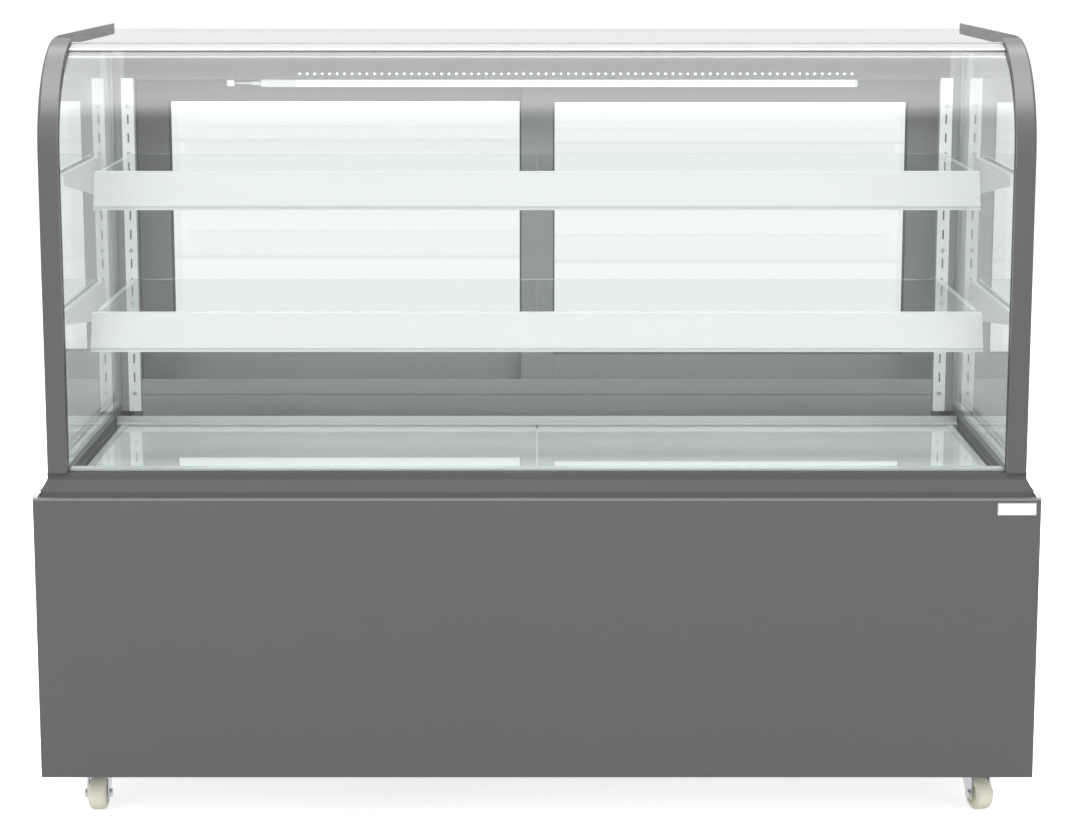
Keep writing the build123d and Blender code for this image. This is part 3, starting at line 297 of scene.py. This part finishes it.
bead_rubber = skin("bead_rubber", (0.16, 0.162, 0.165), 0.6, variation=0.1, grain=1500.0, specular=0.3)
joint_white = skin("joint_white", (0.40, 0.41, 0.405), 0.35, variation=0.02)
# A lighter copy of joint_white for the lip: painted highlight against the shade on its down-facing face
painted_highlight_lip = skin("painted_highlight_lip", (0.80, 0.81, 0.805), 0.35, variation=0.05)

house_glass = glass("house_glass", (0.985, 0.995, 0.99))
roof_glass = glass("roof_glass", (0.97, 0.985, 0.98), (0.84, 0.9, 0.88))
side_glass = glass("side_glass", (0.91, 0.935, 0.925), (0.5, 0.7, 0.62), "X")
door_glass = glass("door_glass", (0.95, 0.975, 0.965), (0.6, 0.75, 0.7), "Y")
shelf_glass = glass("shelf_glass", (0.82, 0.87, 0.85), (0.52, 0.72, 0.64))
deck_pane = glass("deck_pane", (0.96, 0.985, 0.975), (0.45, 0.66, 0.58))

CASTERS = [f"{row}_{end}_caster" for row in ("front", "rear") for side, end in SIDES]
finishes = {
    panel_paint: ["front_panel", "left_side_panel", "right_side_panel", "rear_panel", "rear_grille"],
    chassis_steel: ["base_pan", "condensate_pan"],
    ledge_steel: ["top_ledge"],
    frame_paint: ["left_side_frame", "right_side_frame"],
    moulding_plastic: ["skirt_moulding"],
    inner_paint: ["rear_door_frame", "left_door_frame", "right_door_frame", "duct_panel"],
    header_paint: ["header"],
    black_plastic: ["control_housing", "condenser_fan", "left_evaporator_fan",
                    "right_evaporator_fan", "light_switch", "set_key", "up_key", "down_key",
                    "left_door_handle", "right_door_handle"],
    tub_plastic: ["insulated_tub"],
    bright_aluminium: ["deck_trim", "lamp_channel"],
    upright_steel: ["shelf_standards", "shelf_brackets"],
    rail_plastic: ["upper_price_rail", "lower_price_rail"],
    lamp_light: ["lamp_diffuser"],
    house_glass: ["front_glass"],
    roof_glass: ["top_glass"],
    side_glass: ["left_side_glass", "right_side_glass"],
    door_glass: ["left_door_glass", "right_door_glass"],
    shelf_glass: ["upper_shelf_glass", "lower_shelf_glass"],
    deck_pane: ["deck_glass"],
    coil_aluminium: ["evaporator_coil", "condenser_coil", "evaporator_fan_plate"],
    black_enamel: ["compressor", "condenser_fan_shroud"],
    rubber_feet: ["compressor_grommets"],
    copper: ["copper_pipes"],
    display_plastic: ["display_lens"],
    zinc: ["caster_plates"] + [f"{caster}_fork" for caster in CASTERS],
    caster_nylon: [f"{caster}_wheel" for caster in CASTERS],
}
for material, names in finishes.items():
    for name in names:
        slots = nodes[name].data.materials
        if len(slots) == 0:
            slots.append(material)
        for index in range(len(slots)):
            slots[index] = material


# Camera, light and floor

PHOTO_WIDTH = 1080
SHIFT_PIXELS = 3.0
CAMERA_TILT = 9.206
AIM_HEIGHT = 0.6
WORLD_STRENGTH = 0.6
FLOOR_GLOW = 0.6
# Place across the canopy's depth and its brightness there
CANOPY_FADE = ((0, 0), (0.126, 0.1), (0.256, 0.4), (0.35, 0.8), (0.437, 1), (0.629, 0.85),
               (0.771, 0.55), (0.857, 0.4), (1, 0.35))

camera_data = bpy.data.cameras.new("camera")
camera = bpy.data.objects.new("camera", camera_data)
scene.collection.objects.link(camera)
camera_data.lens = 82.7
camera_data.sensor_width = 36
camera_data.shift_x = SHIFT_PIXELS / PHOTO_WIDTH
camera_data.shift_y = -0.08
camera.location = (0, -3.965, 1.342)
camera.rotation_euler = (radians(90 - CAMERA_TILT), 0, 0)
scene.camera = camera
scene.view_settings.view_transform = "Standard"


def soft_lamp(name, place, width, height, power, mirrored=False):
    """A broad lamp aimed at the case; metal and glass mirror it only where that is asked for."""
    data = bpy.data.lights.new(name, "AREA")
    data.shape = "RECTANGLE"
    data.size = width
    data.size_y = height
    data.energy = power
    lamp = bpy.data.objects.new(name, data)
    scene.collection.objects.link(lamp)
    lamp.location = place
    aim = Vector((0, 0, AIM_HEIGHT)) - Vector(place)
    lamp.rotation_euler = aim.to_track_quat("-Z", "Y").to_euler()
    lamp.visible_glossy = mirrored
    lamp.visible_transmission = False
    lamp.visible_camera = False
    return lamp


def fade(lamp, stops):
    """Gives an area lamp a brightness that changes across its height."""
    lamp.data.use_nodes = True
    tree = lamp.data.node_tree
    split = node(tree, "ShaderNodeSeparateXYZ")
    link(tree, node(tree, "ShaderNodeNewGeometry").outputs["Parametric"], split.inputs[0])
    ramp = node(tree, "ShaderNodeValToRGB")
    points = ramp.color_ramp.elements
    for point, (place, level) in zip((points[0], points[1]), (stops[0], stops[-1])):
        point.position = place
        point.color = (level, level, level, 1)
    for place, level in stops[1:-1]:
        points.new(place).color = (level, level, level, 1)
    link(tree, split.outputs["Y"], ramp.inputs[0])
    link(tree, ramp.outputs[0], tree.nodes["Emission"].inputs["Strength"])


soft_lamp("front_softbox", (0, -2.15, 3.95), 5.0, 1.1, 110)
canopy = soft_lamp("overhead_canopy", (0, -1.9, 4.2), 5.0, 7.0, 990, mirrored=True)
canopy.rotation_euler = (0, 0, 0)
canopy.visible_diffuse = False
fade(canopy, CANOPY_FADE)
soft_lamp("back_softbox", (0, 1.9, 4.3), 5.0, 0.9, 60, mirrored=True)
soft_lamp("left_lamp", (-3.4, -4.2, 3.2), 3.0, 3.0, 90)
soft_lamp("right_lamp", (3.8, -3.6, 2.4), 3.0, 3.0, 60)
soft_lamp("rear_lamp", (-1.5, 4.4, 2.8), 3.0, 3.0, 110)


def seen_mirrored(tree):
    """1 where a mirror reflection or glass sees the surface."""
    path = node(tree, "ShaderNodeLightPath").outputs
    return math_node(tree, "MAXIMUM", path["Is Glossy Ray"], path["Is Transmission Ray"])


def seen_plainly(tree):
    """1 where the camera, a mirror reflection or glass sees the surface, before any soft bounce."""
    path = node(tree, "ShaderNodeLightPath").outputs
    seen = math_node(tree, "MAXIMUM", path["Is Camera Ray"], seen_mirrored(tree))
    direct = math_node(tree, "LESS_THAN", path["Diffuse Depth"], 0.5)
    return math_node(tree, "MULTIPLY", seen, direct)


world = bpy.data.worlds.new("surroundings")
scene.world = world
world.use_nodes = True
sky = world.node_tree.nodes["Background"]
sky.inputs["Color"].default_value = (1, 1, 1, 1)
sky_extra = math_node(world.node_tree, "MULTIPLY", seen_plainly(world.node_tree), 1.0 - WORLD_STRENGTH)
link(world.node_tree, math_node(world.node_tree, "ADD", sky_extra, WORLD_STRENGTH), sky.inputs["Strength"])

bpy.ops.mesh.primitive_plane_add(size=60, location=(0, 0, 0))
floor = bpy.context.object
floor.name = "floor"
floor_material, floor_tree, floor_shader = new_material("pale_floor")
floor_shader.inputs["Base Color"].default_value = (0.86, 0.86, 0.86, 1)
floor_shader.inputs["Roughness"].default_value = 0.9
floor_shader.inputs["Specular IOR Level"].default_value = 0.0
floor_shader.inputs["Emission Color"].default_value = (1, 1, 1, 1)
floor_glow = math_node(floor_tree, "MULTIPLY", seen_plainly(floor_tree), FLOOR_GLOW)
link(floor_tree, floor_glow, floor_shader.inputs["Emission Strength"])
swap_shader(floor_tree, seen_mirrored(floor_tree), floor_shader, node(floor_tree, "ShaderNodeEmission"))
floor.data.materials.append(floor_material)
bpy.ops.object.select_all(action="DESELECT")


# Shaping

# Edges that turn by more than this are bevelled, and stay sharp where they aren't
SHARP = radians(35)
# How closely the face of a shape has to point along a direction to be picked
FACING = 0.95
# A screw's rim and the slope of its recess as shares of its radius, and the recess's share of its height
SCREW_RIM = 0.42
RECESS_SLOPE = 0.12
RECESS_DEPTH = 0.45


def only(pieces):
    """Selects nothing but these pieces, the first one active."""
    bpy.ops.object.select_all(action="DESELECT")
    for piece in pieces:
        piece.select_set(True)
    bpy.context.view_layer.objects.active = pieces[0]


def named(name, material):
    piece = bpy.context.object
    piece.name = name
    piece.data.name = name
    piece.data.materials.append(material)
    return piece


def settle(piece):
    """Puts the piece's place, turn and scale in its mesh."""
    only([piece])
    bpy.ops.object.transform_apply(location=True, rotation=True, scale=True)
    bpy.ops.object.select_all(action="DESELECT")
    return piece


def smooth(piece):
    only([piece])
    bpy.ops.object.shade_smooth_by_angle(angle=SHARP)
    bpy.ops.object.select_all(action="DESELECT")
    return piece


def soften(piece, width):
    bpy.context.view_layer.objects.active = piece
    bevel = piece.modifiers.new("edges", "BEVEL")
    bevel.width = width
    bevel.segments = 2
    bevel.limit_method = "ANGLE"
    bevel.angle_limit = SHARP
    bpy.ops.object.modifier_apply(modifier="edges")
    return smooth(piece)


def select_faces(piece, test):
    """Enters edit mode with only the faces selected whose middle and normal pass the test."""
    bpy.context.view_layer.objects.active = piece
    bpy.ops.object.mode_set(mode="EDIT")
    bpy.ops.mesh.select_mode(type="FACE")
    bpy.ops.mesh.select_all(action="DESELECT")
    mesh = bmesh.from_edit_mesh(piece.data)
    for face in mesh.faces:
        face.select = test(face.calc_center_median(), face.normal)
    mesh.select_flush(True)
    bmesh.update_edit_mesh(piece.data)


def slab(name, material, low, high, edge=0.0005):
    """A bar or strip between two corners, with softened edges."""
    low, high = Vector(low), Vector(high)
    bpy.ops.mesh.primitive_cube_add(size=1, location=(low + high) / 2)
    piece = named(name, material)
    piece.scale = high - low
    return soften(settle(piece), edge)


def disc(name, material, place, axis, radius, height, sides=16, edge=0.0003):
    """A low cylinder standing on a place and pointing along an axis."""
    axis = Vector(axis)
    turn = axis.to_track_quat("Z", "Y").to_euler()
    bpy.ops.mesh.primitive_cylinder_add(vertices=sides, radius=radius, depth=height,
                                        location=Vector(place) + axis * height / 2, rotation=turn)
    piece = settle(named(name, material))
    return soften(piece, edge) if edge else piece


def join(name, pieces):
    only(pieces)
    bpy.ops.object.join()
    pieces[0].name = name
    bpy.ops.object.select_all(action="DESELECT")
    return pieces[0]


def repeated(first, offsets):
    """A modelled piece and its copies at each offset, joined into one piece."""
    copies = [first]
    for offset in offsets:
        copy = first.copy()
        copy.data = first.data.copy()
        scene.collection.objects.link(copy)
        copy.data.transform(Matrix.Translation(offset))
        copies.append(copy)
    return join(first.name, copies)


def screw(name, material, place, axis, radius=0.0035, height=0.0016):
    """A pan-head screw with a recess pressed into its head."""
    head = disc(name, material, place, axis, radius, height, 20, 0.0006)
    along = Vector(axis)
    top = (Vector(place) + along * height).dot(along)
    select_faces(head, lambda middle, normal: normal.dot(along) > FACING
                 and abs(middle.dot(along) - top) < 0.0002)
    bpy.ops.mesh.inset(thickness=radius * SCREW_RIM, depth=0)
    bpy.ops.mesh.inset(thickness=radius * RECESS_SLOPE, depth=-height * RECESS_DEPTH)
    bpy.ops.object.mode_set(mode="OBJECT")
    return smooth(head)


def bent_strip(name, material, inner, outer, first, last, half_width, steps=8):
    """A strip bent over the glass between two angles from upright, spun along the bend."""
    centre = Vector((0, BEND_DEPTH, BEND_Z))
    bpy.ops.mesh.primitive_plane_add(size=1, location=(0, 0, 0))
    piece = named(name, material)
    piece.scale = (2 * half_width, outer - inner, 1)
    bpy.ops.object.transform_apply(scale=True)
    upright = Matrix.Rotation(radians(90), 4, "X")
    lifted = Matrix.Translation((0, 0, (inner + outer) / 2))
    turned = Matrix.Rotation(radians(first), 4, "X")
    piece.data.transform(Matrix.Translation(centre) @ (turned @ lifted @ upright))
    bpy.context.view_layer.objects.active = piece
    bpy.ops.object.mode_set(mode="EDIT")
    bpy.ops.mesh.select_all(action="SELECT")
    bpy.ops.mesh.spin(steps=steps, angle=radians(first - last), center=centre, axis=(1, 0, 0))
    bpy.ops.mesh.select_all(action="SELECT")
    bpy.ops.mesh.remove_doubles(threshold=0.00001)
    bpy.ops.mesh.normals_make_consistent(inside=False)
    bpy.ops.object.mode_set(mode="OBJECT")
    return smooth(settle(piece))


def dress(piece, body):
    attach(piece, body)


# Screws that hold the standards to the posts

STANDARD_FACE = WALL - 0.0031
SCREW_TOP = 1.059
SCREW_PITCH = 0.0805
SCREWS_EACH = 7
screw_levels = [SCREW_TOP - number * SCREW_PITCH for number in range(SCREWS_EACH)]
standard_screw = screw("standard_screws", zinc, (-STANDARD_X, STANDARD_FACE, SCREW_TOP), TO_FRONT)
screw_spots = [(side * STANDARD_X + STANDARD_X, 0, level - SCREW_TOP)
               for side, end in SIDES for level in screw_levels]
dress(repeated(standard_screw, screw_spots[1:]), "case")


# Glowing dots on the header's face, a painted reflection of the lamp's LED chips in the glossy header, and
# the lamp's plug and socket at its plain end

CHIP_LEFT = -0.391
CHIP_RISE = 0.0106
CHIP_COUNT = 75
CHIP_PITCH = 0.0123
PLUG_END = -0.4705
# How far the lead reaches out of the plug at each step, and how much thinner it gets there
LEAD_STEPS = ((0.004, 0.62), (0.022, 0.85), (0.006, 0.9))
# These dots are not chips on the header but a painted reflection of the lamp's chips in its face
reflected_chip = disc("painted_led_reflections", painted_chip_reflection, (CHIP_LEFT, WALL, LAMP_Z + CHIP_RISE), TO_FRONT, 0.0017, 0.0008, 8, 0)
reflection_spots = [(CHIP_PITCH * number, 0, 0) for number in range(1, CHIP_COUNT)]
dress(repeated(reflected_chip, reflection_spots), "case")

plug = disc("lamp_plug", lamp_plastic, (-0.455, WALL + 0.010, LAMP_Z - 0.0065), TO_LEFT, 0.0042,
            0.016, 20, 0.0012)
select_faces(plug, lambda middle, normal: normal.x < -FACING and middle.x < PLUG_END)
for reach, shrink in LEAD_STEPS:
    bpy.ops.mesh.extrude_region_move(TRANSFORM_OT_translate={"value": (-reach, 0, 0)})
    bpy.ops.transform.resize(value=(1, shrink, shrink))
bpy.ops.object.mode_set(mode="OBJECT")
dress(smooth(plug), "case")
lamp_socket = slab("lamp_socket", lamp_plastic, (-0.512, WALL + 0.002, LAMP_Z - 0.012),
                   (-0.500, WALL + 0.018, LAMP_Z), 0.0012)
dress(lamp_socket, "case")


# Strip, lip and bead over the joint of the curved glass and the top glass; the lip is a lighter copy of
# the strip's colour, painted highlight on its down-facing face, which lies in shade

JOINT_HALF = FRAME_INNER - 0.001
JOINT_UNDER = GLASS_RADIUS + 0.0002
STRIP_OVER = GLASS_RADIUS + 0.0016
LIP_OVER = GLASS_RADIUS + 0.0024
STRIP_ANGLES = (13, 21)
LIP_ANGLES = (21, 22.2)
strip = bent_strip("joint_strip", joint_white, JOINT_UNDER, STRIP_OVER, *STRIP_ANGLES, JOINT_HALF)
dress(strip, "case")
lip = bent_strip("painted_highlight_lip", painted_highlight_lip, JOINT_UNDER, LIP_OVER, *LIP_ANGLES, JOINT_HALF, 3)
dress(lip, "case")
seam_bead = slab("seam_bead", joint_white, (-JOINT_HALF, -0.2158, 1.1735),
                 (JOINT_HALF, -0.2121, 1.1776), 0.0012)
dress(seam_bead, "case")


# Bare plate at the right of the front panel, with a thin border

BADGE_LOW = (0.685, FRONT - 0.0006, 0.4845)
BADGE_HIGH = (0.743, FRONT + 0.0002, 0.5035)
BADGE_BORDER = 0.0008
badge = slab("bare_plate", plate_border, BADGE_LOW, BADGE_HIGH, 0.0002)
badge.data.materials.append(white_enamel)
select_faces(badge, lambda middle, normal: normal.y < -FACING)
bpy.ops.mesh.inset(thickness=BADGE_BORDER, depth=0)
bpy.ops.mesh.inset(thickness=0.0003, depth=-0.0002)
badge.active_material_index = 1
bpy.ops.object.material_slot_assign()
bpy.ops.object.mode_set(mode="OBJECT")
dress(badge, "case")


# Air duct panel under the doors, with its rear return

DUCT_HALF = 0.664
DUCT_SHEET = 0.002
DUCT_FOOT = 0.5005
DUCT_HEAD = 0.599
RETURN_Z = 0.572
RETURN_REAR = 0.220
duct_face = slab("duct_cover", inner_paint, (-DUCT_HALF, WALL, DUCT_FOOT),
                 (DUCT_HALF, WALL + DUCT_SHEET, DUCT_HEAD), 0.0004)
duct_return = slab("duct_cover", inner_paint, (-DUCT_HALF, WALL, RETURN_Z),
                   (DUCT_HALF, RETURN_REAR, RETURN_Z + DUCT_SHEET), 0.0004)
duct_cover = join("duct_cover", [duct_face, duct_return])
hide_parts("duct_panel")
dress(duct_cover, "case")


# Corners of the ledge, left and right of the moulding's foot

CORNER_INNER = 0.7415
CORNER_OUTER = 0.7495
for side, end in SIDES:
    x_low, x_high = sorted((side * CORNER_INNER, side * CORNER_OUTER))
    corner = slab(f"{end}_ledge_corner", bright_aluminium, (x_low, FRONT + 0.0005, BASE_TOP + 0.0028),
                  (x_high, FRONT + 0.028, BASE_TOP + 0.0075), 0.001)
    select_faces(corner, lambda middle, normal: normal.z > FACING)
    bpy.ops.mesh.inset(thickness=0.0012, depth=-0.0008)
    bpy.ops.object.mode_set(mode="OBJECT")
    dress(smooth(corner), "case")


# Spacer bars between the two panes of each side

SPACE_LOW = 0.7042
SPACE_HIGH = 0.7135
PANE_FRONT = -0.3292
PANE_REAR = 0.1375
PANE_FOOT = 0.5558
PANE_HEAD = 1.1662
PANE_RADIUS = 0.1492
SPACER = 0.0065
# Low and high corner of each straight bar in Y and Z
SPACER_BARS = (
    ((PANE_FRONT, PANE_FOOT), (PANE_REAR, PANE_FOOT + SPACER)),
    ((PANE_FRONT, PANE_FOOT), (PANE_FRONT + SPACER, BEND_Z)),
    ((PANE_REAR - SPACER, PANE_FOOT), (PANE_REAR, PANE_HEAD)),
    ((BEND_DEPTH, PANE_HEAD - SPACER), (PANE_REAR, PANE_HEAD)),
)

for side, end in SIDES:
    x_low, x_high = sorted((side * SPACE_LOW, side * SPACE_HIGH))
    bars = [slab("bar", spacer_metal, (x_low, *low), (x_high, *high)) for low, high in SPACER_BARS]
    arc = bent_strip("bar", spacer_metal, PANE_RADIUS - SPACER, PANE_RADIUS, 0, 90,
                     (SPACE_HIGH - SPACE_LOW) / 2, 18)
    arc.data.transform(Matrix.Translation((side * (SPACE_LOW + SPACE_HIGH) / 2, 0, 0)))
    dress(join(f"{end}_spacer", bars + [arc]), "case")


# Bolts of the caster plates

CASTER_X = 0.678
CASTER_ROWS = ((-0.263, "front"), (0.265, "rear"))
BOLT_PITCH = 0.041
BOLT_IN = 0.0205
BOLT_SPOTS = [(BOLT_PITCH, 0, 0), (0, BOLT_PITCH, 0), (BOLT_PITCH, BOLT_PITCH, 0)]
for side, end in SIDES:
    for depth, row in CASTER_ROWS:
        bolt_place = (side * CASTER_X - BOLT_IN, depth - BOLT_IN, PLATE_UNDER)
        bolt = disc(f"{row}_{end}_plate_bolts", zinc, bolt_place, DOWN, 0.0048, 0.0034, 6, 0.0005)
        dress(repeated(bolt, BOLT_SPOTS), "case")


# Screws of the rear panel, the grille and the side panels

HEAD_RADIUS = 0.0042
REAR_HEAD = 0.0018
SIDE_HEAD = 0.0016
REAR_PITCH = 0.369
REAR_RISE = 0.192
GRILLE_PITCH = 0.269
GRILLE_RISE = 0.268
SIDE_FACE = 0.749
SIDE_PITCH = 0.21
rear_screw = screw("rear_panel_screws", zinc, (-0.738, REAR_PANEL, 0.100), TO_REAR, HEAD_RADIUS, REAR_HEAD)
rear_spots = [(REAR_PITCH * across, 0, REAR_RISE * level) for across in (0, 4) for level in range(3)][1:]
rear_spots += [(REAR_PITCH * across, 0, REAR_RISE * 2) for across in (1, 2, 3)]
dress(repeated(rear_screw, rear_spots), "case")
grille_screw = screw("grille_screws", black_plastic, (-0.649, REAR_GRILLE, 0.149), TO_REAR, HEAD_RADIUS,
                     REAR_HEAD)
grille_spots = [(GRILLE_PITCH * across, 0, GRILLE_RISE * level)
                for across in range(3) for level in (0, 1)][1:]
dress(repeated(grille_screw, grille_spots), "case")
side_spots = [(0, SIDE_PITCH * step, 0) for step in (1, 2, 3)]
for side, end in SIDES:
    side_screw = screw(f"{end}_panel_screws", panel_paint, (side * SIDE_FACE, -0.325, 0.094), (side, 0, 0),
                       HEAD_RADIUS, SIDE_HEAD)
    dress(repeated(side_screw, side_spots), "case")


# Rubber bead round the glass of each door, the joint lines of its frame and the meeting brush

WINDOW_FOOT = 0.626
WINDOW_HEAD = 1.063
BEAD_WIDTH = 0.0028
BEAD_RISE = 0.0022
BEAD_GAP = 0.0001
LINE_HALF = 0.0003
LINE_UNDER = 0.0066
LINE_OVER = 0.00705
LINE_SPANS = ((0.5725, 0.6255), (1.0635, 1.1165))
# Each door's window in X, and the front and rear of its glass
DOORS = (("left", -0.6265, -0.027, 0.264, 0.276), ("right", 0.027, 0.6265, 0.2335, 0.2455))


def bead_ring(name, x_low, x_high, y_low, y_high):
    """Four strips round a door's window, joined at their corners."""
    foot = WINDOW_FOOT + BEAD_WIDTH
    head = WINDOW_HEAD - BEAD_WIDTH
    return join(name, [slab(name, bead_rubber, low, high, 0.0006) for low, high in (
        ((x_low, y_low, WINDOW_FOOT), (x_high, y_high, foot)),
        ((x_low, y_low, head), (x_high, y_high, WINDOW_HEAD)),
        ((x_low, y_low, foot), (x_low + BEAD_WIDTH, y_high, head)),
        ((x_high - BEAD_WIDTH, y_low, foot), (x_high, y_high, head)),
    )])


for door, x_low, x_high, face, back in DOORS:
    inner = bead_ring(f"{door}_inner_bead", x_low, x_high, face - BEAD_RISE, face - BEAD_GAP)
    dress(inner, f"{door}_door")
    outer = bead_ring(f"{door}_outer_bead", x_low, x_high, back + BEAD_GAP, back + BEAD_RISE)
    dress(outer, f"{door}_door")
    lines = [
        slab(f"{door}_door_joints", bead_rubber, (across - LINE_HALF, y_low, z_low),
             (across + LINE_HALF, y_high, z_high), 0.0001)
        for across in (x_low, x_high)
        for z_low, z_high in LINE_SPANS
        for y_low, y_high in ((face - LINE_OVER, face - LINE_UNDER), (back + LINE_UNDER, back + LINE_OVER))
    ]
    dress(join(f"{door}_door_joints", lines), f"{door}_door")

brush = slab("meeting_brush", black_plastic, (-0.020, 0.2531, 0.580), (-0.012, 0.2571, 1.110), 0.0015)
dress(brush, "left_door")


# Raised marks on the controller's keys, one pointing up and one pointing down

MARK_RADIUS = 0.0022
MARK_RISE = 0.0004
MARK_SUNK = 0.0001
for key, way in (("up_key", 1), ("down_key", -1)):
    low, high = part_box(key)
    middle = (low + high) / 2
    mark = disc(f"{key}_mark", plate_border, (middle.x, high.y - MARK_SUNK, middle.z), TO_REAR,
                MARK_RADIUS, MARK_RISE, 3, 0)
    if (mark.data.vertices[0].co.z - middle.z) * way < 0:
        half_turn = Matrix.Rotation(pi, 4, "Y")
        mark.data.transform(Matrix.Translation(middle) @ half_turn @ Matrix.Translation(-middle))
    dress(mark, f"{key}_cap")
